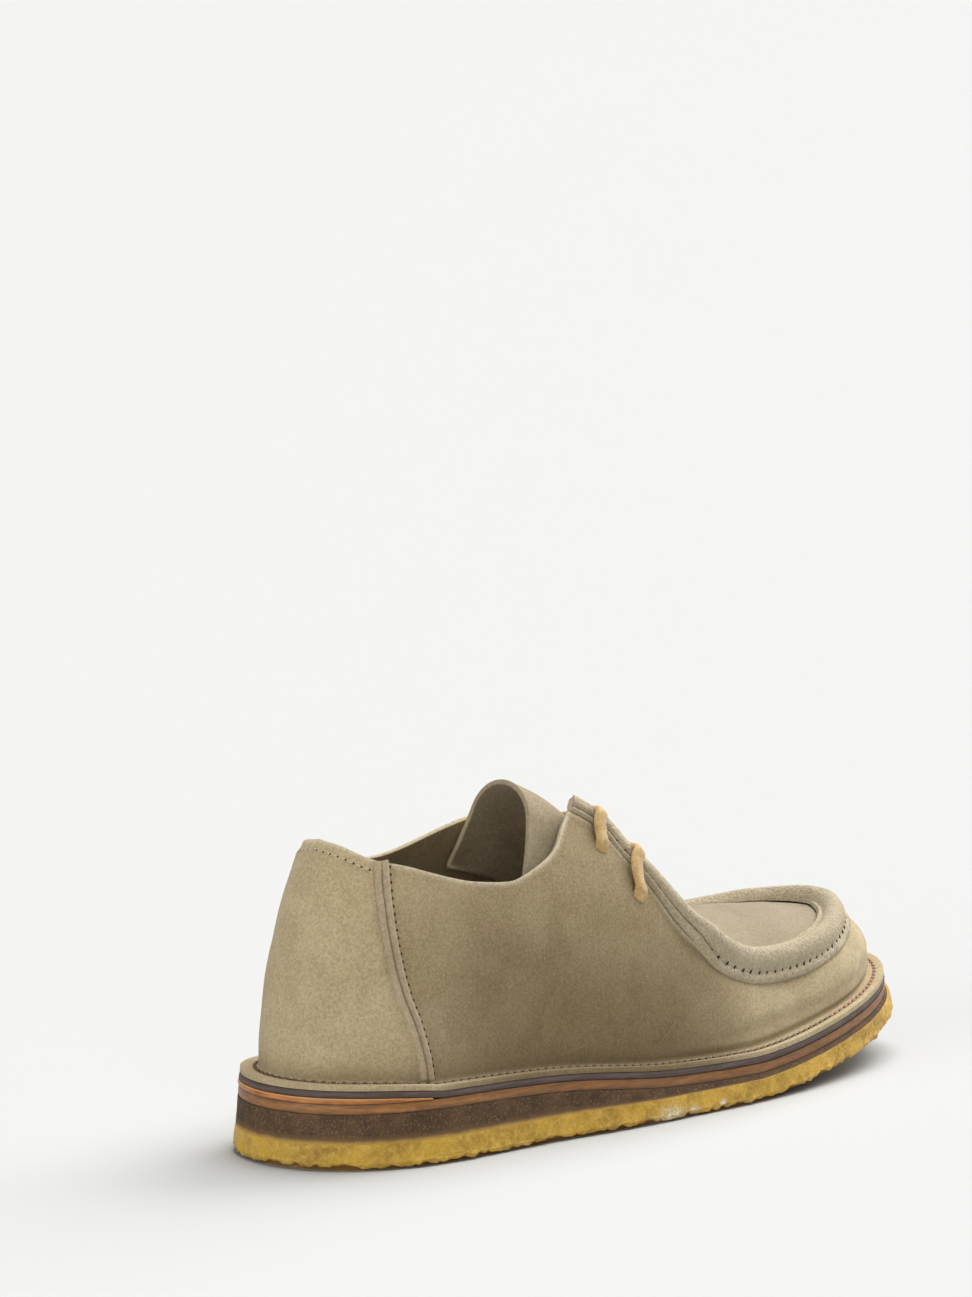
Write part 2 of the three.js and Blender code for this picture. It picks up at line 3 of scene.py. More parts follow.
import logging
from contextlib import contextmanager
from dataclasses import dataclass
from enum import Enum
from functools import partial
from typing import Callable, Iterator, Sequence

import bpy
import numpy as np
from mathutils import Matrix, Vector, noise
from mathutils.kdtree import KDTree


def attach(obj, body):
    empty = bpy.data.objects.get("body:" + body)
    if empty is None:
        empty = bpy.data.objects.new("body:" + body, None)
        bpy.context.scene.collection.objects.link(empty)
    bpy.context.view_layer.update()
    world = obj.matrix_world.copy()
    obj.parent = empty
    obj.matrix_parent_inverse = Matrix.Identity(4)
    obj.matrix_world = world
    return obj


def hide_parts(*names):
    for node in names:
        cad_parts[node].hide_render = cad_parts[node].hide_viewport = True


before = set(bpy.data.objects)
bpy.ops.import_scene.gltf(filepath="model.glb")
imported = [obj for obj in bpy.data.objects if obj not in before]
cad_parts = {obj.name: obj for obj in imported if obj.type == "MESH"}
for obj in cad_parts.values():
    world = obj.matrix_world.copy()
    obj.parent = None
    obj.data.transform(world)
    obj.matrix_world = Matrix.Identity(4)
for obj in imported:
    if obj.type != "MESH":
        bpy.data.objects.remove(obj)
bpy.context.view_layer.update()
LOG = logging.getLogger("boot")
MM = 0.001
FINE = 2e-3
"""A small step along a station or a level, for slopes."""
TOUCHING = 2e-6
"""Vertices nearer than this, in metres, are one."""
SAMPLES = 1600
"""Places at which a path is measured."""
HALVINGS = 26
"""Steps of the search for a level at a distance from the cut edge."""
TOP_LEVEL = 0.97
"""The highest level with a normal of its own: above it the ribs run together."""
Array = np.ndarray
Frames = tuple[Array, Array, Array]
"""Places, ways along and normals."""
Rows = Sequence[Sequence[float]]
Materials = Sequence[bpy.types.Material]
Colour = tuple[float, float, float]

# Tables of the last and of the cut edges, as in the part's source
OUTLINE_ROWS: Rows = (
    # t (0 heel, 1 toe), lateral, medial half width
    (0.0, 0.95, 0.95), (0.1, 0.91, 0.9), (0.2, 0.805, 0.755), (0.3, 0.665, 0.6),
    (0.4, 0.515, 0.415), (0.5, 0.47, 0.39), (0.6, 0.505, 0.515), (0.7, 0.54, 0.585),
    (0.8, 0.575, 0.64), (0.9, 0.59, 0.68), (1.0, 0.6, 0.69),
)
WEDGE_ROWS: Rows = (
    # t, share between the toe's and the heel's thickness
    (0.0, 1.0), (0.1, 1.0), (0.2, 0.98), (0.3, 0.92), (0.4, 0.7),
    (0.5, 0.2), (0.6, 0.03), (0.7, 0.0), (1.0, 0.0),
)
RIB_ROWS: Rows = (
    # t, crest place, crest height, swing, rise, lean, reach
    (0.0, 0.165, 1.0, 0.0, 0.25, 0.01, 0.7), (0.1, 0.178, 1.0, 0.0, 0.28, 0.02, 0.7),
    (0.2, 0.215, 1.0, 0.0, 0.34, 0.03, 0.68), (0.3, 0.285, 0.985, 0.0, 0.38, 0.035, 0.64),
    (0.4, 0.375, 0.973, 0.0, 0.4, 0.05, 0.6), (0.45, 0.44, 0.941, 0.0, 0.4, 0.06, 0.58),
    (0.5, 0.505, 0.847, 0.005, 0.4, 0.07, 0.6), (0.55, 0.57, 0.671, 0.02, 0.42, 0.07, 0.66),
    (0.6, 0.625, 0.485, 0.045, 0.46, 0.055, 0.74), (0.65, 0.68, 0.41, 0.065, 0.49, 0.045, 0.79),
    (0.7, 0.735, 0.368, 0.075, 0.5, 0.04, 0.8), (0.8, 0.82, 0.31, 0.06, 0.54, 0.04, 0.78),
    (0.9, 0.87, 0.272, 0.035, 0.6, 0.035, 0.76), (1.0, 0.89, 0.257, 0.01, 0.62, 0.03, 0.75),
)
COLLAR_ROWS: Rows = (
    # t, lateral v, medial v
    (0.0, 0.66, 0.66), (0.08, 0.64, 0.64), (0.16, 0.59, 0.6), (0.22, 0.56, 0.56),
    (0.28, 0.52, 0.53), (0.32, 0.5, 0.53), (0.36, 0.495, 0.57), (0.39, 0.53, 0.61),
    (0.412, 0.58, 0.64), (0.426, 0.65, 0.665), (0.44, 0.72, 0.69),
)
THROAT_ROWS: Rows = (
    # t, lateral v, medial v, from the facing's corner to the toe
    (0.44, 0.72, 0.69), (0.47, 0.68, 0.65), (0.485, 0.62, 0.6), (0.5, 0.575, 0.56),
    (0.515, 0.51, 0.51), (0.53, 0.445, 0.46), (0.55, 0.405, 0.42), (0.57, 0.375, 0.4),
    (0.6, 0.37, 0.4), (0.65, 0.37, 0.4), (0.7, 0.385, 0.41), (0.75, 0.425, 0.44),
    (0.8, 0.49, 0.5), (0.85, 0.56, 0.57), (0.9, 0.63, 0.63), (1.0, 0.7, 0.7),
)
TONGUE_ROWS: Rows = (
    # place along the shoe, height, radius, half arc
    (0.37, 0.924, 0.19, 0.5), (0.42, 0.868, 0.21, 0.47), (0.47, 0.775, 0.24, 0.44),
    (0.52, 0.65, 0.27, 0.41), (0.57, 0.52, 0.3, 0.38), (0.61, 0.44, 0.34, 0.36),
    (0.65, 0.39, 0.37, 0.34),
)
SEAM_ROWS: Rows = (
    # up from flange to collar, t
    (0.0, 0.242), (0.15, 0.235), (0.3, 0.222), (0.45, 0.204), (0.65, 0.187), (0.87, 0.173), (1.0, 0.167),
)
LACE_ROWS: Rows = (
    # t, distance under the cut edge as a share of the ball's width
    (0.464, 0.08), (0.492, 0.12),
)


def lerp(a: Array, b: Array, s: Array) -> Array:
    """The value at share s between a and b."""
    return a + (b - a) * s


def smooth(low: float, high: float, s: Array) -> Array:
    """A soft step from 0 at low to 1 at high."""
    u = np.clip((np.asarray(s, float) - low) / (high - low), 0.0, 1.0)
    return u * u * (3.0 - 2.0 * u)


def unit(v: Array) -> Array:
    """Vectors of length one."""
    return v / np.maximum(np.linalg.norm(v, axis=-1, keepdims=True), 1e-9)


def floats(*values: Array) -> Sequence[Array]:
    """The values as arrays of floats in one common shape."""
    return np.broadcast_arrays(*(np.asarray(value, float) for value in values))


def hermite(u: Array, ends: tuple[Array, Array], slopes: tuple[Array, Array]) -> Array:
    """A cubic between two ends with their slopes, at share u."""
    u2, u3 = u * u, u * u * u
    return ((2 * u3 - 3 * u2 + 1) * ends[0] + (u3 - 2 * u2 + u) * slopes[0]
            + (3 * u2 - 2 * u3) * ends[1] + (u3 - u2) * slopes[1])


def run_along(points: Array, power: float = 1.0) -> Array:
    """The length run through at each point of a line, with its steps raised to a power."""
    steps = np.linalg.norm(np.diff(points, axis=0), axis=-1)
    return np.concatenate([[0.0], np.cumsum(steps ** power)])


class Curve:
    """A smooth curve through one column of a table, with the first column as its variable."""

    def __init__(self, rows: Rows, index: int) -> None:
        """Takes the column and works out its slopes."""
        table = np.array(rows, float)
        self.x, self.y = table[:, 0], table[:, index]
        before = np.maximum(np.arange(len(table)) - 1, 0)
        after = np.minimum(np.arange(len(table)) + 1, len(table) - 1)
        self.slope = (self.y[after] - self.y[before]) / (self.x[after] - self.x[before])

    def __call__(self, at: Array) -> Array:
        """The curve's value at a place, held at its ends."""
        s = np.clip(np.asarray(at, float), self.x[0], self.x[-1])
        i = np.searchsorted(self.x[1:-1], s, side="left")
        span = self.x[i + 1] - self.x[i]
        slopes = (span * self.slope[i], span * self.slope[i + 1])
        return hermite((s - self.x[i]) / span, (self.y[i], self.y[i + 1]), slopes)


def around(t: Array, side: Array) -> tuple[Array, Array]:
    """A station past the toe or the heel, taken on along the other side."""
    t, side = np.broadcast_arrays(np.asarray(t, float), np.asarray(side, float))
    over, under = t > 1, t < 0
    return np.where(over, 2 - t, np.where(under, -t, t)), np.where(over | under, -side, side)


@dataclass(eq=False)
class Last:
    """The foot form: surface, plan and layer heights that every piece is drawn from."""

    shoe_length: float = 304.0
    ball_width: float = 102.0
    heel_width: float = 79.0
    heel_centre: float = 38.0
    toe_swing: float = 4.0
    flange: float = 6.5
    cone: float = 105.0
    toe_spring: float = 15.5
    spring_start: float = 0.64
    spring_bend: float = 1.35
    wall: float = 1.8
    gap: float = 0.3
    rand_thickness: float = 2.0
    heel_rand_thickness: float = 1.9
    heel_rand_end: float = 0.25
    midsole_thickness: float = 3.2
    wedge_heel: float = 10.0
    wedge_toe: float = 1.4
    crepe_heel: float = 9.2
    crepe_toe: float = 8.2
    corner: float = 0.44
    roll_back: float = 0.557

    def __post_init__(self) -> None:
        """Makes the curves of the tables."""
        self.lateral, self.medial = Curve(OUTLINE_ROWS, 1), Curve(OUTLINE_ROWS, 2)
        self.wedge_share = Curve(WEDGE_ROWS, 1)
        self.rib = [Curve(RIB_ROWS, i) for i in range(1, 7)]
        self.collar = [Curve(COLLAR_ROWS, 1), Curve(COLLAR_ROWS, 2)]
        self.throat = [Curve(THROAT_ROWS, 1), Curve(THROAT_ROWS, 2)]
        self.seam = Curve(SEAM_ROWS, 1)

    def share(self, x: Array) -> Array:
        """Share of the shoe's length at x."""
        return (x + self.heel_centre) / self.shoe_length

    def plan_t(self, x: Array) -> Array:
        """Station at x."""
        return np.arccos(1 - 2 * np.clip(self.share(x), 0, 1)) / np.pi

    def centre_y(self, x: Array) -> Array:
        """The plan's centre line."""
        return self.toe_swing * smooth(0.45, 1, self.share(x))

    def outline(self, t: Array, side: Array) -> Array:
        """Plan outline of the flange."""
        width = lerp(self.heel_width, self.ball_width, smooth(0.3, 0.5, t))
        share = np.where(side < 0, self.lateral(t), self.medial(t))
        x = self.shoe_length * (1 - np.cos(np.pi * t)) / 2 - self.heel_centre
        return np.stack([x, self.centre_y(x) + side * share * width * np.sin(np.pi * t)], -1)

    def edge(self, t: Array, side: Array, grow: Array) -> Array:
        """The outline moved outward in plan by grow."""
        t, side, grow = floats(t, side, grow)
        along = unit(self.outline(*around(t + FINE, side)) - self.outline(*around(t - FINE, side)))
        out = np.stack([-side * along[..., 1], side * along[..., 0]], -1)
        return self.outline(t, side) + out * grow[..., None]

    def lift(self, x: Array) -> Array:
        """Height of the tread over the floor."""
        u = np.clip((self.share(x) - self.spring_start) / (1 - self.spring_start), 0, 1)
        return self.toe_spring * u ** self.spring_bend

    def crepe_top(self, x: Array) -> Array:
        """Top of the crepe."""
        return self.lift(x) + lerp(self.crepe_toe, self.crepe_heel, self.wedge_share(self.plan_t(x)))

    def wedge_top(self, x: Array) -> Array:
        """Top of the wedge."""
        share = self.wedge_share(self.plan_t(x))
        return self.crepe_top(x) + self.gap + lerp(self.wedge_toe, self.wedge_heel, share)

    def midsole_top(self, x: Array) -> Array:
        """Top of the midsole."""
        return self.wedge_top(x) + self.gap + self.midsole_thickness

    def heel_rand_top(self, x: Array) -> Array:
        """Top of the heel strip, which thins out at the side seams."""
        fade = 1 - np.minimum(1, self.plan_t(x) / self.heel_rand_end) ** 5
        return self.midsole_top(x) + (self.gap + self.heel_rand_thickness) * fade

    def strip_middle(self, x: Array) -> Array:
        """Half way up the heel strip."""
        return lerp(self.midsole_top(x), self.heel_rand_top(x), 0.5)

    def rand_top(self, x: Array) -> Array:
        """Top of the rand."""
        return self.heel_rand_top(x) + self.gap + self.rand_thickness

    def seat(self, x: Array) -> Array:
        """Top of the turned-out flange."""
        return self.rand_top(x) + self.gap + self.wall

    def stitch_inset(self, t: Array) -> Array:
        """How far in from the flange's edge the sole is stitched."""
        return lerp(5.1, 3.3, smooth(0.16, 0.62, t))

    def point(self, t: Array, side: Array, v: Array) -> Array:
        """A point on the last: v is 0 at the feather edge and 1 at the crest."""
        t, side, v = floats(t, side, v)
        place, height, swing, rise, lean, reach = (curve(t) for curve in self.rib)
        plan = self.edge(t, side, -self.flange)
        shoulder = self.edge(t, side, lean * self.ball_width - self.flange)
        foot_z = self.seat(plan[..., 0])
        crest_x = place * self.shoe_length - self.heel_centre
        crest_y = self.centre_y(crest_x) + swing * self.ball_width
        crest_z = self.seat(crest_x) + self.cone * height
        foot = np.stack([plan[..., 0], plan[..., 1], foot_z], -1)
        crest = np.stack([crest_x, crest_y, crest_z], -1)
        knee = np.stack([shoulder[..., 0], shoulder[..., 1], lerp(foot_z, crest_z, rise)], -1)
        brow = lerp(crest, foot, reach[..., None])
        brow[..., 2] = crest_z
        w, u = (1 - v)[..., None], v[..., None]
        return foot * w ** 3 + knee * 3 * w * w * u + brow * 3 * w * u * u + crest * u ** 3

    def normal(self, t: Array, side: Array, v: Array) -> Array:
        """Outward normal of the last."""
        t, side, v = floats(t, side, v)
        at = np.clip(v, FINE, TOP_LEVEL)
        ahead, behind = self.point(*around(t + FINE, side), at), self.point(*around(t - FINE, side), at)
        up = self.point(t, side, at + FINE) - self.point(t, side, at - FINE)
        return unit(np.cross(ahead - behind, up) * -side[..., None])

    def edge_v(self, t: Array, side: Array) -> Array:
        """Where the upper's top edge lies on a rib."""
        t, side = floats(t, side)
        collar, throat = (np.where(side < 0, pair[0](t), pair[1](t)) for pair in (self.collar, self.throat))
        return np.where(t < self.corner, collar, throat)

    def hole_edge(self, t: Array, side: Array) -> Array:
        """The upper's top edge."""
        return self.point(t, side, self.edge_v(t, side))

    def below_edge(self, t: Array, side: Array, distance: Array) -> Array:
        """The v that lies at a distance below the top edge."""
        top = self.edge_v(t, side)
        peak = self.point(t, side, top)
        low, high = np.zeros_like(top), top.copy()
        for _ in range(HALVINGS):
            mid = (low + high) / 2
            near = np.linalg.norm(self.point(t, side, mid) - peak, axis=-1) < distance
            high, low = np.where(near, mid, high), np.where(near, low, mid)
        return (low + high) / 2

    def frames(self, t: Array, side: Array) -> tuple[Array, Array, Array, Array]:
        """Point, way into the hole, way forward and normal at the top edge."""
        normal = self.normal(t, side, self.edge_v(t, side))
        along = unit(self.hole_edge(*around(t + FINE, side)) - self.hole_edge(*around(t - FINE, side)))
        side = np.broadcast_to(np.asarray(side, float), along.shape[:-1])
        inward = unit(np.cross(along, normal) * side[..., None])
        return self.hole_edge(t, side), inward, along, normal

    def lace_hole(self, t: float, side: int, inset: float) -> tuple[Array, Array]:
        """Middle of a lace hole and its normal; the inset is a share of the ball's width."""
        at = np.array([t])
        v = self.below_edge(at, side, inset * self.ball_width)
        return self.point(at, side, v)[0], self.normal(at, side, v)[0]

    def seam_path(self, up: Array, side: int) -> tuple[Array, Array]:
        """Stations and levels of the heel seam's middle."""
        t = self.seam(up)
        return t, up * self.edge_v(t, side)


LAST = Last()


def round_trip(stations: Array) -> tuple[Array, Array]:
    """Stations from the heel along the lateral side to the toe and back along the medial side.

    Args:
        stations: rising stations of one side.

    Returns:
        Stations and sides of the whole trip.
    """
    t = np.concatenate([stations, stations[::-1][1:]])
    side = np.concatenate([-np.ones(len(stations)), np.ones(len(stations) - 1)])
    return t, side


def even_stations(path: Callable[[Array], Array], start: float, end: float, pitch: float) -> Array:
    """Values of a path's variable that lie a pitch apart along it.

    Args:
        path: gives points for an array of values.
        start: first value.
        end: last value.
        pitch: distance in millimetres.

    Returns:
        The values.
    """
    fine = np.linspace(start, end, SAMPLES)
    run = run_along(path(fine))
    count = max(2, int(round(run[-1] / pitch)))
    return np.interp(np.linspace(0, run[-1], count + 1), run, fine)


def ripple(points: Array, size: float, seed: float = 0.0) -> Array:
    """Soft noise from about -1 to 1 at points, with waves of a size in millimetres."""
    flat = points.reshape(-1, 3) / size + seed
    return np.array([noise.noise(Vector(p)) for p in flat]).reshape(points.shape[:-1]) * 1.6


def crumbs(points: Array, size: float, seed: float = 0.0) -> Array:
    """Rounded lumps: 1 at a lump's middle and 0 between lumps."""
    flat = points.reshape(-1, 3) / size + seed
    near = np.array([noise.voronoi(Vector(p))[0][0] for p in flat]).reshape(points.shape[:-1])
    return np.clip(1 - 1.35 * near, 0, 1)


def deselect() -> None:
    """Leaves edit mode and deselects everything."""
    if bpy.context.object and bpy.context.object.mode != "OBJECT":
        bpy.ops.object.mode_set(mode="OBJECT")
    bpy.ops.object.select_all(action="DESELECT")


def activate(piece: bpy.types.Object) -> None:
    """Makes one piece the selected and active object."""
    deselect()
    piece.select_set(True)
    bpy.context.view_layer.objects.active = piece


@contextmanager
def editing(piece: bpy.types.Object) -> Iterator[None]:
    """Edit mode on one piece with its whole mesh selected, and object mode afterwards."""
    activate(piece)
    bpy.ops.object.mode_set(mode="EDIT")
    bpy.ops.mesh.select_all(action="SELECT")
    yield
    bpy.ops.object.mode_set(mode="OBJECT")


def face_outward(piece: bpy.types.Object) -> None:
    """Turns every face of a closed piece outward."""
    with editing(piece):
        bpy.ops.mesh.normals_make_consistent(inside=False)


def put_materials(piece: bpy.types.Object, materials: Materials) -> None:
    """Gives a piece these materials alone, in the order of its slots."""
    piece.data.materials.clear()
    for material in materials:
        piece.data.materials.append(material)


def grid_piece(name: str, points: Array, fill_ends: bool = False, paints: dict[str, Array] | None = None,
               materials: Materials = ()) -> bpy.types.Object:
    """A grid primitive with its vertices laid on points, its touching borders merged.

    Args:
        name: the piece's name.
        points: rows by columns by 3, in millimetres; column run x row run points outward.
        fill_ends: closes the open ends with faces.
        paints: numbers for each point, stored on the mesh by name.
        materials: in the order of the piece's slots.

    Returns:
        The new piece.
    """
    rows, columns = points.shape[:2]
    deselect()
    bpy.ops.mesh.primitive_grid_add(x_subdivisions=columns - 1, y_subdivisions=rows - 1, size=1, calc_uvs=True)
    piece = bpy.context.object
    piece.name = name
    piece.data.name = name
    piece.data.vertices.foreach_set("co", (points * MM).ravel())
    for word, values in (paints or {}).items():
        paint(piece, word, np.broadcast_to(values, (rows, columns)).ravel())
    put_materials(piece, materials)
    with editing(piece):
        bpy.ops.mesh.remove_doubles(threshold=TOUCHING)
        if fill_ends:
            bpy.ops.mesh.fill_holes(sides=0)
    return piece


def finish_modifiers(piece: bpy.types.Object) -> None:
    """Applies every modifier of a piece."""
    activate(piece)
    for modifier in list(piece.modifiers):
        bpy.ops.object.modifier_apply(modifier=modifier.name)


def give_wall(piece: bpy.types.Object, thickness: float, bevel: float) -> None:
    """Gives a sheet its thickness inward and softens its rim.

    The inner face takes the second material and the rim the third.

    Args:
        piece: the sheet.
        thickness: in millimetres.
        bevel: width of the softened rim edges.
    """
    wall = piece.modifiers.new("wall", "SOLIDIFY")
    wall.thickness = thickness * MM
    wall.offset = -1
    wall.use_even_offset = False
    wall.material_offset = 1
    wall.material_offset_rim = 2
    soft = piece.modifiers.new("rim", "BEVEL")
    soft.width = bevel * MM
    soft.segments = 2
    soft.limit_method = "ANGLE"
    soft.angle_limit = np.radians(55)
    finish_modifiers(piece)


def smooth_shade(piece: bpy.types.Object, angle: float) -> None:
    """Smooth shading with edges sharper than an angle in degrees kept."""
    activate(piece)
    bpy.ops.object.shade_smooth_by_angle(angle=np.radians(angle))


def vertices_of(piece: bpy.types.Object) -> Array:
    """A piece's vertices in millimetres."""
    flat = np.empty(len(piece.data.vertices) * 3)
    piece.data.vertices.foreach_get("co", flat)
    return flat.reshape(-1, 3) / MM


def paint(piece: bpy.types.Object, name: str, values: Array) -> None:
    """Stores one number for each vertex, which a material reads by its name."""
    layer = piece.data.attributes.new(name, "FLOAT", "POINT")
    layer.data.foreach_set("value", np.asarray(values, np.float32))


def dress(piece: bpy.types.Object, materials: Materials, nodes: Sequence[str] = ()) -> None:
    """Gives a new piece its materials and ties it to the frame.

    Args:
        piece: the new piece.
        materials: in the order of the piece's slots.
        nodes: CAD nodes that the piece stands for.
    """
    put_materials(piece, materials)
    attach(piece, "root")
    if nodes:
        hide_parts(*nodes)
    LOG.info("%s: %d faces", piece.name, len(piece.data.polygons))


class Recipe:
    """A material that is being put together, node by node."""

    def __init__(self, name: str) -> None:
        """Starts an empty material with a Principled shader."""
        self.material = bpy.data.materials.new(name)
        self.material.use_nodes = True
        self.tree = self.material.node_tree
        self.tree.nodes.clear()
        self.out = self.tree.nodes.new("ShaderNodeOutputMaterial")
        self.shader = self.tree.nodes.new("ShaderNodeBsdfPrincipled")
        self.join(self.shader.outputs[0], self.out.inputs["Surface"])
        self.coords = self.tree.nodes.new("ShaderNodeTexCoord")

    def join(self, start: bpy.types.NodeSocket, end: bpy.types.NodeSocket) -> None:
        """Links two sockets."""
        self.tree.links.new(start, end)

    def put(self, socket: bpy.types.NodeSocket, value: object) -> None:
        """Links a socket, or sets its value."""
        if isinstance(value, bpy.types.NodeSocket):
            self.join(value, socket)
        else:
            socket.default_value = value

    def place(self, stretch: Sequence[float], turn: Sequence[float] = (0, 0, 0)) -> bpy.types.NodeSocket:
        """Object coordinates, stretched and turned."""
        mapping = self.tree.nodes.new("ShaderNodeMapping")
        mapping.inputs["Scale"].default_value = stretch
        mapping.inputs["Rotation"].default_value = turn
        self.join(self.coords.outputs["Object"], mapping.inputs["Vector"])
        return mapping.outputs["Vector"]

    def grain(self, size: float, detail: float, rough: float, distort: float = 0.0,
              where: bpy.types.NodeSocket | None = None) -> bpy.types.NodeSocket:
        """Cloudy noise with waves of a size in millimetres."""
        node = self.tree.nodes.new("ShaderNodeTexNoise")
        self.join(where or self.coords.outputs["Object"], node.inputs["Vector"])
        node.inputs["Scale"].default_value = 1.0 / (size * MM)
        node.inputs["Detail"].default_value = detail
        node.inputs["Roughness"].default_value = rough
        node.inputs["Distortion"].default_value = distort
        return node.outputs[0]

    def painted(self, name: str) -> bpy.types.NodeSocket:
        """A number stored on the mesh."""
        node = self.tree.nodes.new("ShaderNodeAttribute")
        node.attribute_name = name
        return node.outputs["Fac"]

    def ramp(self, value: bpy.types.NodeSocket, low: float, high: float, soft: bool = False) -> bpy.types.NodeSocket:
        """The value's part between low and high, spread over 0 to 1."""
        node = self.tree.nodes.new("ShaderNodeMapRange")
        node.interpolation_type = "SMOOTHSTEP" if soft else "LINEAR"
        self.join(value, node.inputs["Value"])
        node.inputs["From Min"].default_value = low
        node.inputs["From Max"].default_value = high
        return node.outputs["Result"]

    def math(self, kind: str, a: object, b: object) -> bpy.types.NodeSocket:
        """A sum on two values."""
        node = self.tree.nodes.new("ShaderNodeMath")
        node.operation = kind
        self.put(node.inputs[0], a)
        self.put(node.inputs[1], b)
        return node.outputs[0]

    def mix(self, share: object, a: object, b: object, kind: str = "MIX") -> bpy.types.NodeSocket:
        """Two colours mixed by a share."""
        node = self.tree.nodes.new("ShaderNodeMix")
        node.data_type = "RGBA"
        node.blend_type = kind
        self.put(node.inputs[0], share)
        self.put(node.inputs[6], (*a, 1.0) if isinstance(a, tuple) else a)
        self.put(node.inputs[7], (*b, 1.0) if isinstance(b, tuple) else b)
        return node.outputs[2]

    def bump(self, height: bpy.types.NodeSocket, depth: float, strength: float,
             under: bpy.types.NodeSocket | None = None) -> bpy.types.NodeSocket:
        """A bumped normal, with its depth in millimetres."""
        node = self.tree.nodes.new("ShaderNodeBump")
        node.inputs["Distance"].default_value = depth * MM
        node.inputs["Strength"].default_value = strength
        self.join(height, node.inputs["Height"])
        if under is not None:
            self.join(under, node.inputs["Normal"])
        return node.outputs["Normal"]

    def close(self, colour: object, roughness: object, normal: bpy.types.NodeSocket | None = None,
              **plain: float) -> bpy.types.Material:
        """Joins the results to the shader.

        Args:
            colour: socket or colour.
            roughness: socket or number.
            normal: bumped normal.
            plain: numbers for the shader's own sockets, by name with underscores.

        Returns:
            The material.
        """
        self.put(self.shader.inputs["Base Color"], (*colour, 1.0) if isinstance(colour, tuple) else colour)
        self.put(self.shader.inputs["Roughness"], roughness)
        if normal is not None:
            self.join(normal, self.shader.inputs["Normal"])
        for key, value in plain.items():
            self.shader.inputs[key.replace("_", " ")].default_value = value
        return self.material


@dataclass(frozen=True)
class Suede:
    """Brushed suede with cloudy nap, fine pile and a pale raw edge."""

    name: str
    dark: Colour
    mid: Colour
    light: Colour
    pile: float = 0.35
    nap_and_shade: float = 26.0
    fuzz: float = 0.22
    # Turns on the rubbed spots and pale lip, and also painted shade on the quarters and by the flange
    wear_and_shade: bool = False
    pitted: bool = False
    hollow: Colour = (0.05, 0.035, 0.02)
    # Colour multiplied in where painted shade darkens the quarters
    quarter_shade: Colour = (0.48, 0.44, 0.375)
    rubbed: Colour = (0.66, 0.56, 0.4)
    lip: Colour = (0.68, 0.59, 0.43)

    def material(self) -> bpy.types.Material:
        """The nap's colour, the pile's bump and a soft sheen; on the upper also painted shade."""
        recipe = Recipe(self.name)
        cloud = recipe.grain(self.nap_and_shade, 4, 0.6, 0.8)
        streak = recipe.grain(5.5, 5, 0.68, 0.3, recipe.place((1.0, 1.0, 0.5), (0.0, 0.5, 0.0)))
        speck = recipe.grain(0.95, 3, 0.75)
        colour = recipe.mix(recipe.ramp(cloud, 0.34, 0.66, True), self.dark, self.light)
        colour = recipe.mix(0.45, colour, self.mid)
        colour = recipe.mix(recipe.ramp(streak, 0.3, 0.7), recipe.mix(0.4, colour, self.dark), colour)
        colour = recipe.mix(recipe.ramp(speck, 0.36, 0.64),
                            recipe.mix(0.3, colour, self.hollow), recipe.mix(0.22, colour, self.light))
        if self.wear_and_shade:
            # Painted shade: the quarters darkened, most low down, where less light falls
            colour = recipe.mix(recipe.painted("nap_and_shade"), colour, self.quarter_shade, "MULTIPLY")
            # Painted shade: darker low down where the wall meets the flange
            colour = recipe.mix(recipe.math("MULTIPLY", recipe.painted("feather_shade"), 0.45), colour,
                                (self.dark[0] * 0.5, self.dark[1] * 0.48, self.dark[2] * 0.45))
            colour = recipe.mix(recipe.math("MULTIPLY", recipe.painted("scuff"), 0.4), colour, self.rubbed)
            lip = recipe.math("MULTIPLY", recipe.painted("lip"), recipe.ramp(speck, 0.25, 0.5))
            colour = recipe.mix(recipe.math("MULTIPLY", lip, 0.75), colour, self.lip)
        normal = recipe.bump(recipe.grain(1.7, 4, 0.65, 0.4), 0.4, 0.5)
        normal = recipe.bump(recipe.grain(self.pile, 3, 0.75), self.fuzz, 0.8, normal)
        if self.pitted:
            pits = recipe.ramp(recipe.grain(1.15, 2, 0.5), 0.36, 0.55, True)
            normal = recipe.bump(pits, 0.35, 0.7, normal)
        return recipe.close(colour, 0.95, normal, Specular_IOR_Level=0.15, Sheen_Weight=0.12, Sheen_Roughness=0.5)


@dataclass(frozen=True)
class CutLeather:
    """The cut and waxed edge of vegetable-tanned leather."""

    name: str
    base: Colour
    dark: Colour
    gloss: float = 0.5
    # Strength and colour of a painted highlight along the top of the edge
    top_highlight: float = 0.0
    highlight_colour: Colour = (0.8, 0.42, 0.14)

    def material(self) -> bpy.types.Material:
        """Fibre lines along the edge, darker where the wax has gathered and at the dark borders, with painted shade
        towards the forefoot.
        """
        recipe = Recipe(self.name)
        fibre = recipe.grain(1.6, 5, 0.7, 0.2, recipe.place((0.12, 0.12, 1.6)))
        blot = recipe.grain(9.0, 3, 0.6)
        border_and_shade = recipe.painted("border_and_shade")
        colour = recipe.mix(recipe.ramp(fibre, 0.3, 0.7), self.dark, self.base)
        colour = recipe.mix(recipe.ramp(blot, 0.4, 0.75), colour, recipe.mix(0.5, colour, self.dark))
        # Dark borders at the joints, and painted shade that darkens the edge from the heel forward
        colour = recipe.mix(recipe.math("MULTIPLY", border_and_shade, 0.75), colour, self.dark)
        # Painted highlight: the top of the edge lightened
        top_highlight = recipe.math("MULTIPLY", recipe.ramp(recipe.painted("rise"), 0.66, 0.92, True), self.top_highlight)
        colour = recipe.mix(top_highlight, colour, self.highlight_colour)
        normal = recipe.bump(fibre, 0.16, 0.8)
        normal = recipe.bump(recipe.grain(0.8, 3, 0.6), 0.08, 0.6, normal)
        return recipe.close(colour, self.gloss, normal, Specular_IOR_Level=0.4)


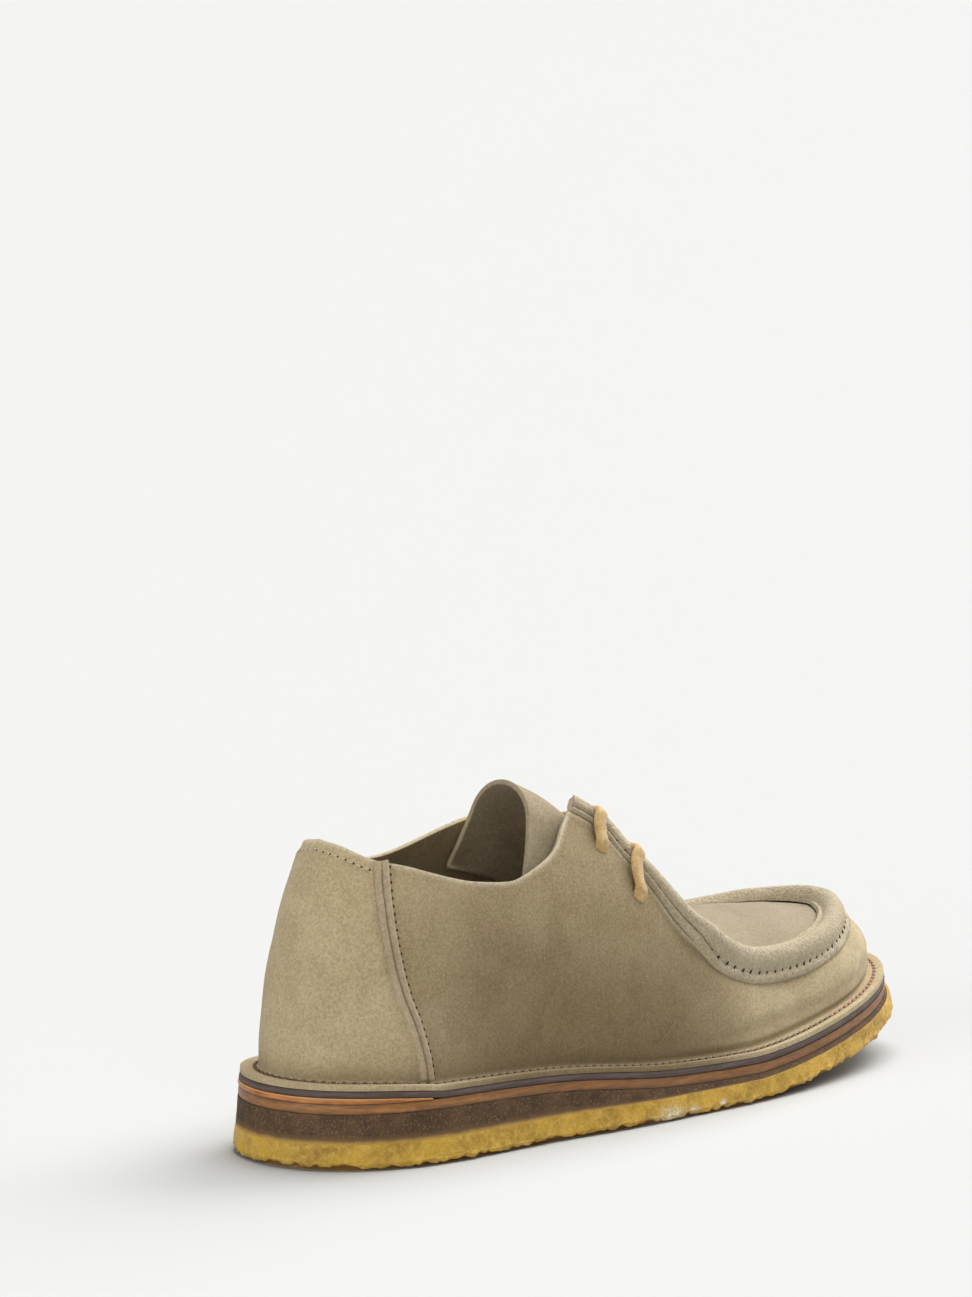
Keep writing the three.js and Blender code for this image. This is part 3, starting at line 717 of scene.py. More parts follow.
@dataclass(frozen=True)
class Cork:
    """Dark speckled wedge that pales into the crepe below it."""

    name: str = "wedge_board"
    base: Colour = (0.115, 0.063, 0.03)
    dark: Colour = (0.052, 0.031, 0.019)
    speck: Colour = (0.21, 0.13, 0.062)
    amber: Colour = (0.17, 0.1, 0.045)
    honey: Colour = (0.5, 0.3, 0.075)

    def material(self) -> bpy.types.Material:
        """Speckles, faint upright brush lines and the pale lower border."""
        recipe = Recipe(self.name)
        cloud = recipe.grain(8.0, 4, 0.6)
        specks = recipe.grain(0.75, 2, 0.5)
        brush = recipe.grain(0.9, 3, 0.6, 0.0, recipe.place((1, 1, 0.5)))
        colour = recipe.mix(recipe.ramp(cloud, 0.35, 0.7), self.dark, self.base)
        colour = recipe.mix(recipe.ramp(specks, 0.56, 0.72), colour, self.speck)
        colour = recipe.mix(recipe.math("MULTIPLY", recipe.ramp(brush, 0.35, 0.8), 0.25), colour, self.speck)
        low = recipe.math("ADD", recipe.painted("rise"), recipe.math("MULTIPLY", recipe.grain(5.0, 3, 0.6), 0.12))
        colour = recipe.mix(recipe.ramp(low, 0.42, 0.12, True), colour, self.amber)
        colour = recipe.mix(recipe.ramp(low, 0.24, 0.05, True), colour, self.honey)
        normal = recipe.bump(brush, 0.12, 0.6)
        normal = recipe.bump(recipe.grain(0.5, 3, 0.7), 0.14, 0.8, normal)
        return recipe.close(colour, 0.78, normal, Specular_IOR_Level=0.25)


@dataclass(frozen=True)
class Crepe:
    """Honey-yellow crepe rubber: clear lumps, dusty hollows and crumbly skin."""

    name: str = "crepe_rubber"
    pale: Colour = (0.71, 0.465, 0.105)
    honey: Colour = (0.61, 0.37, 0.045)
    deep: Colour = (0.34, 0.19, 0.022)
    # Colour of the painted shade under the torn lip
    under: Colour = (0.26, 0.13, 0.025)
    dust: Colour = (0.8, 0.73, 0.6)

    def material(self) -> bpy.types.Material:
        """Colour from soft clouds and faint lumps, painted shade in amber under the torn lip, dust low down."""
        recipe = Recipe(self.name)
        cloud = recipe.grain(11.0, 4, 0.6, 0.4)
        colour = recipe.mix(recipe.ramp(cloud, 0.3, 0.62, True), self.deep, self.honey)
        colour = recipe.mix(recipe.ramp(recipe.grain(2.4, 4, 0.65), 0.45, 0.8), colour, self.pale)
        colour = recipe.mix(recipe.math("MULTIPLY", recipe.ramp(recipe.grain(1.0, 3, 0.6), 0.55, 0.36), 0.3),
                            colour, self.deep)
        # Painted shade: amber on the tread and under the torn lip
        low = recipe.math("ADD", recipe.painted("under"), recipe.math("MULTIPLY", recipe.grain(2.0, 3, 0.6), 0.3))
        colour = recipe.mix(recipe.ramp(low, 0.55, 0.95, True), colour, self.under)
        dusty = recipe.math("MULTIPLY", recipe.painted("dust"), recipe.ramp(recipe.grain(1.3, 3, 0.7), 0.38, 0.55))
        colour = recipe.mix(dusty, colour, self.dust)
        normal = recipe.bump(recipe.grain(2.8, 4, 0.62, 0.5), 1.1, 0.7)
        normal = recipe.bump(recipe.grain(0.8, 3, 0.65), 0.2, 0.7, normal)
        return recipe.close(colour, 0.52, normal, Subsurface_Weight=0.12, Subsurface_Scale=0.002,
                            Specular_IOR_Level=0.35)


@dataclass(frozen=True)
class Thread:
    """Waxed sewing thread, or painted shade for the dark inside a needle hole."""

    name: str
    base: Colour
    rough: float = 0.7

    def material(self) -> bpy.types.Material:
        """A twisted look from slanting fine bands."""
        recipe = Recipe(self.name)
        twist = recipe.grain(0.4, 2, 0.5)
        colour = recipe.mix(recipe.ramp(twist, 0.3, 0.7), tuple(c * 0.6 for c in self.base), self.base)
        return recipe.close(colour, self.rough, recipe.bump(twist, 0.06, 0.7), Specular_IOR_Level=0.25)


@dataclass(frozen=True)
class SoftLace:
    """A soft, golden tan lace with a brushed skin."""

    name: str = "lace_cloth"
    base: Colour = (0.58, 0.385, 0.14)
    dark: Colour = (0.36, 0.215, 0.07)
    pale: Colour = (0.68, 0.49, 0.24)

    def material(self) -> bpy.types.Material:
        """Fine fibres over a plain colour."""
        recipe = Recipe(self.name)
        fibre = recipe.grain(0.7, 4, 0.7)
        colour = recipe.mix(recipe.ramp(fibre, 0.3, 0.62), self.dark, self.base)
        colour = recipe.mix(recipe.ramp(recipe.grain(3.5, 3, 0.6), 0.45, 0.8), colour, self.pale)
        normal = recipe.bump(recipe.grain(0.45, 3, 0.75), 0.22, 0.85)
        return recipe.close(colour, 0.92, normal, Specular_IOR_Level=0.2, Sheen_Weight=0.3, Sheen_Roughness=0.6)


@dataclass(frozen=True)
class Crease:
    """A soft trough or ridge in the leather, along a path on one side of the last."""

    side: int
    path: tuple[tuple[float, float], ...]
    depth: float
    width: float

    def shift(self, points: Array, last: Last) -> Array:
        """How far each point moves outward; a trough is negative.

        Args:
            points: places on the last, in millimetres.
            last: the foot form.

        Returns:
            One shift for each point.
        """
        rows = np.array(self.path)
        fine = np.linspace(0, len(rows) - 1, 8 * len(rows))
        t = np.interp(fine, np.arange(len(rows)), rows[:, 0])
        v = np.interp(fine, np.arange(len(rows)), rows[:, 1])
        line = last.point(t, self.side, v)
        away = np.linalg.norm(points[..., None, :] - line, axis=-1)
        nearest = away.argmin(-1)
        fade = np.sin(np.pi * (0.06 + 0.88 * nearest / (len(line) - 1)))
        return -self.depth * fade * np.exp(-(away.min(-1) / self.width) ** 2)


UPPER_SUEDES: tuple[Suede, ...] = (
    # outer side, plug, band, flesh side, cut edge, tongue
    Suede("suede_outside", (0.43, 0.33, 0.178), (0.525, 0.418, 0.244), (0.61, 0.503, 0.31), wear_and_shade=True),
    Suede("suede_plug", (0.31, 0.25, 0.16), (0.35, 0.285, 0.19), (0.41, 0.345, 0.24)),
    Suede("suede_band", (0.465, 0.38, 0.245), (0.54, 0.45, 0.298), (0.63, 0.54, 0.385), fuzz=0.35, pitted=True),
    # Flesh side: paler by nature, and painted lighter still to stand in for light that hardly reaches inside the shoe
    Suede("suede_flesh_side_lit", (0.57, 0.44, 0.275), (0.66, 0.52, 0.34), (0.74, 0.61, 0.42), 0.5, 14, 0.4),
    Suede("suede_cut_edge", (0.45, 0.37, 0.24), (0.56, 0.47, 0.32), (0.66, 0.57, 0.41), 0.5, 8, 0.4),
    Suede("tongue_suede", (0.31, 0.24, 0.145), (0.39, 0.31, 0.195), (0.48, 0.4, 0.265)),
)
THREADS: tuple[Thread, ...] = (
    # The first is painted shade for the inside of needle holes
    Thread("needle_hole_shade", (0.055, 0.037, 0.025), 0.95), Thread("brown_thread", (0.19, 0.11, 0.062)),
    Thread("grey_thread", (0.3, 0.22, 0.14)), Thread("rose_thread", (0.5, 0.31, 0.21)),
    Thread("cream_thread", (0.6, 0.5, 0.36)),
)
CREASES: tuple[Crease, ...] = (
    Crease(-1, ((0.585, 0.1), (0.62, 0.12), (0.655, 0.135), (0.69, 0.145)), 0.6, 2.6),
    Crease(-1, ((0.575, 0.13), (0.61, 0.155), (0.645, 0.17), (0.68, 0.175)), -0.45, 3.0),
    Crease(-1, ((0.5, 0.46), (0.51, 0.36), (0.53, 0.29)), 0.35, 7.0),
    Crease(-1, ((0.41, 0.42), (0.44, 0.4), (0.465, 0.42)), 0.5, 8.0),
    Crease(-1, ((0.3, 0.2), (0.34, 0.24), (0.38, 0.3)), 0.5, 10.0),
    Crease(-1, ((0.2, 0.45), (0.15, 0.4), (0.1, 0.38)), 0.5, 9.0),
    Crease(-1, ((0.52, 0.2), (0.55, 0.22), (0.575, 0.26)), 0.35, 5.0),
    Crease(1, ((0.56, 0.12), (0.6, 0.15), (0.65, 0.17), (0.7, 0.18)), 0.8, 3.6),
    Crease(1, ((0.55, 0.2), (0.59, 0.23), (0.63, 0.24)), 0.6, 4.5),
    Crease(1, ((0.45, 0.45), (0.47, 0.36), (0.49, 0.28)), -0.5, 9.0),
    Crease(1, ((0.4, 0.4), (0.43, 0.36), (0.46, 0.36)), 0.6, 8.0),
    Crease(1, ((0.2, 0.4), (0.15, 0.36), (0.1, 0.36)), 0.5, 9.0),
)


FOLD_ROWS: Rows = (
    # height over the flange, reach and depth of the folds along the forefoot
    (2.6, 1.3, 0.4), (6.0, 1.8, -0.32),
)
RUBBED_SPOTS: Rows = (
    # side, t, v, reach
    (-1, 0.8, 0.22, 7.0), (-1, 0.86, 0.32, 6.0), (-1, 0.64, 0.17, 6.0), (1, 0.8, 0.2, 8.0), (1, 0.6, 0.3, 7.0),
)


@dataclass
class UpperShell:
    """The suede upper: one turned-out shell with its cut edges, lace holes and creases."""

    last: Last = LAST
    heel_stations: int = 58
    front_stations: int = 60
    levels: int = 44
    crowding: float = 1.3
    flange_rows: Sequence[float] = (0.0, -0.6, -1.8, -3.0, -3.9)
    feather: float = 1.8
    swell: float = 0.45
    hole: float = 4.6
    drill: float = 9.0
    rim: float = 0.35
    groove: float = 0.45
    lip: float = 0.6

    def stations(self) -> Array:
        """Stations of one side, with the facing's corner among them."""
        back = self.last.corner * self.crowded(np.linspace(0, 1, self.heel_stations))
        front = np.linspace(self.last.corner, 1, self.front_stations + 1)
        return np.concatenate([back, front[1:]])

    def crowded(self, s: Array) -> Array:
        """Even shares drawn together towards 1."""
        return 1 - (1 - s) ** self.crowding

    def surface(self) -> Array:
        """Rows from the flange's edge over the feather up to the cut edge."""
        last = self.last
        t, side = round_trip(self.stations())
        flange = []
        for grow in (*self.flange_rows, self.feather - last.flange):
            plan = last.edge(t, side, grow)
            groove = self.groove * np.exp(-((grow + last.stitch_inset(t)) / 0.75) ** 2)
            flange.append(np.column_stack([plan, last.seat(plan[:, 0]) - groove]))
        foot = last.point(t, side, 0.0) - np.array([0, 0, 0.8 * self.groove])
        start = self.feather / np.linalg.norm(last.point(t, side, 0.02) - foot, axis=-1) * 0.02
        bend_start, bend_end = flange[-1], last.point(t, side, start)
        for s in (0.3, 0.6, 0.85):
            flange.append((1 - s) ** 2 * bend_start + 2 * s * (1 - s) * foot + s * s * bend_end)
        top = last.edge_v(t, side)
        walls = []
        for u in np.linspace(0, 1, self.levels):
            s = self.crowded(u)
            v = lerp(start, top, s)
            walls.append(self.moved(last.point(t, side, v), last.normal(t, side, v), s, t))
        return np.array(flange + walls)

    def moved(self, points: Array, normals: Array, s: float, t: Array) -> Array:
        """Points of one level after creases and the leather's own swell.

        Args:
            points: the level's points.
            normals: outward normals there.
            s: 0 at the feather and 1 at the cut edge.
            t: stations.

        Returns:
            The moved points.
        """
        shift = self.swell * ripple(points, 34.0) + 0.25 * self.swell * ripple(points, 11.0, 3.0)
        for crease in CREASES:
            shift = shift + crease.shift(points, self.last)
        height = points[:, 2] - self.last.seat(points[:, 0])
        for middle, reach, depth in FOLD_ROWS:
            shift = shift + depth * np.exp(-((height - middle) / reach) ** 2) * smooth(0.4, 0.6, t)
        hold = smooth(0, 0.05, s) * np.where(t < self.last.corner, 1.0, 1 - smooth(0.8, 1, s))
        wave = 0.35 * ripple(points, 16.0, 7.0) * smooth(0.85, 1, s) * smooth(0.44, 0.4, t)
        facing = smooth(0.43, 0.45, t) * smooth(0.57, 0.545, t)
        curl = self.lip * smooth(0.955, 1, s) * facing * (1 + 0.4 * ripple(points, 9.0, 12.0))
        return points + normals * (shift * hold + wave + curl)[:, None]

    def cutters(self) -> bpy.types.Object:
        """Drills for the four lace holes, joined into one piece."""
        deselect()
        made = []
        for t, inset in LACE_ROWS:
            for side in (-1, 1):
                place, aim = self.last.lace_hole(t, side, inset)
                turn = Vector(aim).to_track_quat("Z", "Y").to_euler()
                bpy.ops.mesh.primitive_cylinder_add(vertices=20, radius=self.hole / 2 * MM, depth=self.drill * MM,
                                                    location=Vector(place * MM), rotation=turn)
                made.append(bpy.context.object)
        activate(made[0])
        for drill in made:
            drill.select_set(True)
        bpy.ops.object.join()
        return bpy.context.object

    def build(self, suedes: Materials) -> bpy.types.Object:
        """Makes, drills and dresses the shell; its suedes are the outer side, the inner side and the cut edge."""
        piece = grid_piece("upper_shell", self.surface(), materials=suedes)
        give_wall(piece, self.last.wall, self.rim)
        drills = self.cutters()
        cut = piece.modifiers.new("holes", "BOOLEAN")
        cut.operation = "DIFFERENCE"
        cut.solver = "EXACT"
        cut.object = drills
        finish_modifiers(piece)
        bpy.data.objects.remove(drills)
        smooth_shade(piece, 50)
        points = vertices_of(piece)
        height = points[:, 2] - self.last.seat(points[:, 0])
        blot = 0.5 + 0.5 * ripple(points, 9.0, 2.0)
        # Painted shade low down by the flange, in patches
        paint(piece, "feather_shade", smooth(9.0, 0.5, height) * smooth(0.0, 1.0, height) * (0.5 + 0.5 * blot))
        paint(piece, "scuff", self.scuffs(points))
        # Painted shade on the quarters, most low down
        paint(piece, "nap_and_shade", self.quarter_shade(points, height))
        paint(piece, "lip", np.exp(-(self.from_edge(points) / 1.1) ** 2))
        dress(piece, suedes, ("upper",))
        return piece

    def quarter_shade(self, points: Array, height: Array) -> Array:
        """Painted shade: how much darker the suede is painted, most on the quarters and low down, where less light
        falls.
        """
        t, v = self.last.seam_path(np.linspace(0, 1, 24), -1)
        seam = self.last.point(t, -1, v)
        past = points[:, 0] - np.interp(points[:, 2], seam[:, 2], seam[:, 0])
        drift = 4.0 * ripple(points, 30.0, 5.0)
        start = smooth(-1.0, 3.0, past) * (0.5 + 0.5 * smooth(0.0, 40.0, past + drift))
        low = 0.62 + 0.38 * smooth(68.0, 20.0, height + 4.0 * ripple(points, 22.0, 6.0))
        return start * smooth(170.0, 112.0, points[:, 0] + drift) * low

    def from_edge(self, points: Array) -> Array:
        """Distance of each point from the cut edge round the opening."""
        t, side = round_trip(np.linspace(0, 1, 700))
        rim = self.last.hole_edge(t, side)
        tree = KDTree(len(rim))
        for i, place in enumerate(rim):
            tree.insert(place, i)
        tree.balance()
        return np.array([tree.find(place)[2] for place in points])

    def scuffs(self, points: Array) -> Array:
        """Pale rubbed spots near the toe and on the forefoot."""
        total = np.zeros(len(points))
        for side, t, v, size in RUBBED_SPOTS:
            away = np.linalg.norm(points - self.last.point(np.array([t]), side, v), axis=-1)
            total += np.exp(-(away / size) ** 2) * smooth(-0.15, 0.7, ripple(points, 3.2, t * 9))
        return np.clip(total, 0, 1)


# Sections across the facing strip and the rolled seam, from outside over the top to the inside.
# Columns: across (way into the hole) and height over the last, as shares of width and height
STRIP_SECTION: Rows = (
    (0.5, -0.45), (0.11, -0.45), (0.1, -0.1), (0.1, 0.2), (0.115, 0.45), (0.16, 0.62), (0.23, 0.64),
    (0.295, 0.5), (0.33, 0.26), (0.365, 0.55), (0.42, 0.82), (0.52, 0.97), (0.65, 1.0), (0.78, 0.97),
    (0.9, 0.86), (0.97, 0.62), (1.0, 0.3), (1.0, 0.1), (1.0, -0.1), (1.0, -0.45),
)
ROLL_SECTION: Rows = (
    (0.4, 0.05), (-0.33, 0.0), (-0.355, 0.06), (-0.35, 0.15), (-0.32, 0.24), (-0.25, 0.31), (-0.17, 0.34),
    (-0.1, 0.34), (-0.05, 0.33), (0.0, 0.46), (0.05, 0.63), (0.14, 0.83), (0.3, 0.97), (0.48, 1.0),
    (0.68, 0.93), (0.86, 0.68), (0.96, 0.3), (1.0, 0.1), (1.17, 0.07), (1.2, -0.12),
)
RIM, GROOVE = 4, 8
"""Rows of both sections: the outer rim's edge and the stitched groove."""


@dataclass
class SeamBand:
    """Facing strips and moccasin roll, made as the one band that they are in the leather."""

    last: Last = LAST
    roll_width: float = 9.0
    roll_height: float = 6.6
    strip_width: float = 7.8
    strip_height: float = 2.7
    pitch: float = 4.7
    step: float = 0.85
    pucker: float = 0.75
    stand: float = 0.8
    first_stitch: float = 0.47
    window: int = 21
    kept_rows: int = 13
    soft_rows: int = 17

    def growth(self, t: Array) -> Array:
        """0 on the plain strip and 1 where it has grown to the roll's size."""
        return smooth(0.35, 1, (t - self.last.corner) / (self.last.roll_back - self.last.corner))

    def lap(self, t: Array) -> Array:
        """0 where the band lies inside the cut edge and 1 where it laps over it."""
        return smooth(0.53, 0.572, t)

    def size(self, t: float) -> tuple[float, float]:
        """Width and height of the band at a station."""
        grown = float(self.growth(t))
        return lerp(self.strip_width, self.roll_width, grown), lerp(self.strip_height, self.roll_height, grown)

    def section(self, t: float, stitch: float) -> Array:
        """Section at a station, drawn in where a stitch pulls it."""
        lapped = float(self.lap(t))
        strip, roll = np.array(STRIP_SECTION), np.array(ROLL_SECTION)
        shape = lerp(strip, roll, lapped) * np.array(self.size(t))
        index = np.arange(len(shape))
        low = np.exp(-((index - GROOVE) / 1.7) ** 2)
        rim = np.exp(-((index - RIM) / 2.0) ** 2)
        shape[:, 1] -= self.pucker * stitch * low * (0.35 + 0.65 * lapped)
        shape[:, 1] += 0.3 * (0.5 - stitch) * rim * lapped
        shape[:, 0] += (0.9 * stitch - 0.3) * self.pucker * rim * lapped
        return shape

    def upright(self, t: Array, normal: Array) -> Array:
        """The way in which the band stands: the roll leans up from the leather below it."""
        lean = self.stand * self.lap(t)[:, None] * np.array([0.0, 0.0, 1.0])
        return unit(normal + lean)

    def trip(self) -> tuple[Array, Array]:
        """Even stations from the lateral corner round the toe to the medial corner."""
        first = self.last.corner + FINE
        return round_trip(even_stations(partial(self.last.hole_edge, side=-1), first, 1.0, self.step))

    def build(self, suede: bpy.types.Material) -> bpy.types.Object:
        """Sweeps, closes and dresses the band."""
        t, side = self.trip()
        place, inward, _, normal = self.last.frames(t, side)
        run = run_along(place)
        stitch = np.clip(1 - np.abs((run / self.pitch) % 1 - 0.5) * 3.2, 0, 1) ** 2
        sections = np.array([self.section(a, b) for a, b in zip(t, stitch)])
        rising = self.upright(t, normal)
        points = place[:, None] + inward[:, None] * sections[..., :1] + rising[:, None] * sections[..., 1:]
        points = self.eased(points)
        flow = np.stack(np.broadcast_arrays(run[:, None], 0.35 * sections[..., 0], 0.0), -1)
        pleats = 0.13 * ripple(flow, 1.9, 2.0) + 0.1 * ripple(flow, 4.2, 6.0)
        drift = 0.25 * ripple(points, 15.0, 5.0) + pleats * (0.35 + 0.65 * self.lap(t)[:, None])
        points = points + normal[:, None] * (drift * smooth(0.05, 0.5, sections[..., 1]))[..., None]
        points = points.transpose(1, 0, 2)
        piece = grid_piece("seam_band", np.concatenate([points, points[:1]]), True)
        smooth_shade(piece, 60)
        dress(piece, (suede,), ("apron_roll", "facing_strip_lateral", "facing_strip_medial"))
        return piece

    def eased(self, points: Array) -> Array:
        """The band with its inner rows smoothed along the run, where the toe's corners would fold them."""
        window = np.hanning(self.window + 2)[1:-1]
        window /= window.sum()
        reach = len(window) // 2
        eased = points.copy()
        for row in range(self.kept_rows + 1, points.shape[1]):
            share = smooth(self.kept_rows, self.soft_rows, row)
            for k in range(3):
                padded = np.pad(points[:, row, k], reach, mode="edge")
                soft = np.convolve(padded, window, mode="valid")
                eased[:, row, k] = lerp(points[:, row, k], soft, share)
        return eased

    def stitch_frames(self) -> Frames:
        """Places, ways along and normals of the stitches at the band's outer foot."""
        t, side = self.trip()
        place, inward, along, normal = self.last.frames(t, side)
        run = run_along(place)
        marks = np.arange(0.5, run[-1] / self.pitch) * self.pitch
        at = np.searchsorted(run, marks)
        keep = at[t[at] > self.first_stitch]
        low = np.array([self.section(float(a), 1.0)[GROOVE] for a in t[keep]])
        rising = self.upright(t, normal)[keep]
        spot = place[keep] + inward[keep] * (low[:, :1] + 0.1) + rising * (low[:, 1:] + 0.62)
        lean = unit(along[keep] * 0.5 + inward[keep] + rising * 0.6)
        return spot, lean, unit(rising - inward[keep] * 0.6)


@dataclass
class ToePlug:
    """The plug of the moccasin toe, sewn in under the roll."""

    last: Last = LAST
    rows: int = 64
    half_columns: int = 22
    back: float = 0.59
    crease_at: float = 0.68
    crease_depth: float = 0.35
    bunched: float = 0.97
    relaxed: float = 13.0
    merged: float = 1.2

    def build(self, suedes: Materials) -> bpy.types.Object:
        """Lays the plug on the last with a faint crease, and gives it its wall.

        Args:
            suedes: the outer side, the inner side and the cut edge.

        Returns:
            The dressed plug.
        """
        stations = np.linspace(1, self.back, self.rows)
        across = np.linspace(0, 1, self.half_columns)
        sides = []
        for side in (-1, 1):
            top = self.last.edge_v(stations, side)
            low = 2 * top - self.last.below_edge(stations, side, 0.5)
            v = lerp(low[:, None], 1.0, across[None, :])
            t = np.broadcast_to(stations[:, None], v.shape)
            points = self.last.point(t, side, v)
            normal = self.last.normal(t, side, v)
            rise = 0.15 * smooth(0.0, 0.35, across)[None, :] + 0.3 * ripple(points, 22.0, 4.0)
            dip = self.crease_depth * np.exp(-((t - self.crease_at - 0.02 * v) / 0.012) ** 2) * smooth(0.2, 0.5, v)
            sides.append(points + normal * ((rise - dip) * smooth(0, 0.2, across)[None, :])[..., None])
        grid = np.concatenate([sides[0], sides[1][:, ::-1][:, 1:]], axis=1)
        piece = grid_piece("toe_plug", grid, materials=suedes)
        self.relax(piece)
        give_wall(piece, self.last.wall, 0.3)
        smooth_shade(piece, 50)
        dress(piece, suedes, ("apron",))
        return piece

    def relax(self, piece: bpy.types.Object) -> None:
        """Smooths the place near the toe where the ribs of the last run together."""
        middle = self.last.point(np.array([self.bunched]), 1, self.bunched)[0]
        near = np.linalg.norm(vertices_of(piece) - middle, axis=-1) < self.relaxed
        with editing(piece):
            bpy.ops.mesh.select_all(action="DESELECT")
        piece.data.vertices.foreach_set("select", near)
        bpy.ops.object.mode_set(mode="EDIT")
        bpy.ops.mesh.remove_doubles(threshold=self.merged * MM)
        bpy.ops.mesh.vertices_smooth(factor=0.5, repeat=20)
        bpy.ops.object.mode_set(mode="OBJECT")


@dataclass
class CurledTongue:
    """One layer of suede that arches out of the throat, with its medial edge curled."""

    last: Last = LAST
    width: float = 80.0
    thickness: float = 1.7
    swing: float = -2.0
    slant: float = 0.033
    steepest: float = 1.28
    curl: float = 1.5
    curled: float = 0.9
    spread: float = 0.14
    rows: int = 60
    columns: int = 64

    def __post_init__(self) -> None:
        """Makes the curves of the table."""
        self.height, self.radius, self.half_arc = (Curve(TONGUE_ROWS, i) for i in (1, 2, 3))

    def peak(self, at: Array) -> Array:
        """The crest of the tongue."""
        x = at * self.last.shoe_length - self.last.heel_centre
        z = self.last.seat(x) + self.last.cone * self.height(at)
        return np.stack([x, self.last.centre_y(x) + self.swing, z], -1)

    def surface(self) -> Array:
        """Rows from under the plug back up to the top edge."""
        rows = []
        for at in np.linspace(TONGUE_ROWS[0][0], TONGUE_ROWS[-1][0], self.rows)[::-1]:
            radius, reach = self.width * self.radius(at), self.width * self.half_arc(at)
            s = np.linspace(-1, 1, self.columns)
            free = float(smooth(0.47, 0.38, at))
            reach = reach * (1 + self.spread * free * smooth(0.0, 1.0, s))
            start = self.curled * reach
            arc = np.where((s > self.curled) & (free > 0), start, np.abs(s) * reach)
            angle = np.minimum(self.steepest, arc / radius)
            leg = np.maximum(0, arc - self.steepest * radius)
            across = radius * np.sin(angle) + leg * np.cos(self.steepest)
            drop = radius * (1 - np.cos(angle)) + leg * np.sin(self.steepest)
            if free > 0:
                bend = free / self.curl
                turned = np.clip(s - self.curled, 0, 1) * reach * bend
                ahead, aside = np.sin(turned) / bend, (1 - np.cos(turned)) / bend
                across = across + np.cos(angle) * ahead - np.sin(angle) * aside
                drop = drop + np.sin(angle) * ahead + np.cos(angle) * aside
            shift = np.column_stack([-self.slant * self.last.shoe_length * s * s, np.sign(s) * across, -drop])
            points = self.peak(np.array([at])) + shift
            wave = 0.5 * ripple(points, 18.0, 1.5) * free
            points[:, 1] += wave * np.sign(s) * np.abs(s)
            rows.append(points)
        return np.array(rows)

    def build(self, suedes: Materials) -> bpy.types.Object:
        """Makes and dresses the tongue; its suedes are the outer side, the inner side and the cut edge."""
        piece = grid_piece("tongue_leaf", self.surface(), materials=suedes)
        give_wall(piece, self.thickness, 0.35)
        smooth_shade(piece, 50)
        dress(piece, suedes, ("tongue",))
        return piece


@dataclass
class HeelSeams:
    """Raised seams between heel panel and quarters: two fuzzy ridges with stitch holes."""

    last: Last = LAST
    width: float = 5.5
    pitch: float = 2.7
    hole_at: float = 0.6
    columns: int = 120
    section: Rows = ((-0.5, 0.2), (-0.49, 0.9), (-0.4, 1.55), (-0.26, 1.8), (-0.11, 1.4), (0.0, 0.45),
                     (0.1, 1.2), (0.23, 1.65), (0.36, 1.5), (0.48, 0.8), (0.5, 0.2))

    def offset(self, up: Array, side: int, across: float, height: float) -> Array:
        """Points beside the seam's middle, over the last."""
        t, v = self.last.seam_path(up, side)
        speed = np.linalg.norm(self.last.point(t + FINE, side, v) - self.last.point(t, side, v), axis=-1) / FINE
        t = t + across * self.width / speed
        return self.last.point(t, side, v) + self.last.normal(t, side, v) * height

    def build(self, suede: bpy.types.Material) -> list[bpy.types.Object]:
        """Makes and dresses both seams."""
        made = []
        for side, word in ((-1, "lateral"), (1, "medial")):
            up = np.linspace(0.0, 1.0, self.columns)
            tuck = (0.25 + 0.75 * smooth(0.0, 0.03, up) * (0.5 + 0.5 * smooth(1.0, 0.95, up)))[:, None]
            low, high = self.offset(up, side, 0.0, 0.0), self.offset(up, side, 0.0, 1.0)
            rows = [self.offset(up, side, across, 0.1) + (high - low) * tuck * height
                    for across, height in self.section]
            rows += [self.offset(up, side, across, -0.1) for across in (0.5, 0.0, -0.5)]
            grid = np.array(rows + rows[:1])
            t, v = self.last.seam_path(up, side)
            fuzz = 0.16 * ripple(grid, 2.6, 6.0) + 0.12 * ripple(grid, 7.0, 2.0)
            grid = grid + self.last.normal(t, side, v) * fuzz[..., None]
            piece = grid_piece(f"heel_seam_{word}_cord", grid[:, ::-1], True)
            face_outward(piece)
            smooth_shade(piece, 60)
            dress(piece, (suede,), (f"heel_seam_{word}",))
            made.append(piece)
        return made

    def stitch_frames(self) -> Frames:
        """Places, ways along and normals of the needle holes in front of the seams."""
        def row(side: int) -> Frames:
            """The frames of a side."""
            middle = partial(self.offset, side=side, across=0.0, height=0.0)
            holes = partial(self.offset, side=side, across=self.hole_at, height=0.15)
            marks = even_stations(middle, 0.05, 0.97, self.pitch)
            t, v = self.last.seam_path(marks, side)
            return on_path(holes, marks, self.last.normal(t, side, v), 2 * FINE)

        return both_sides(row)


LACE_ENDS: Rows = ((-4.6, 2.4), (-2.2, 1.3), (0.5, -0.3))
"""A lace's end in its hole: distances along the hole's normal and away from the cut edge."""


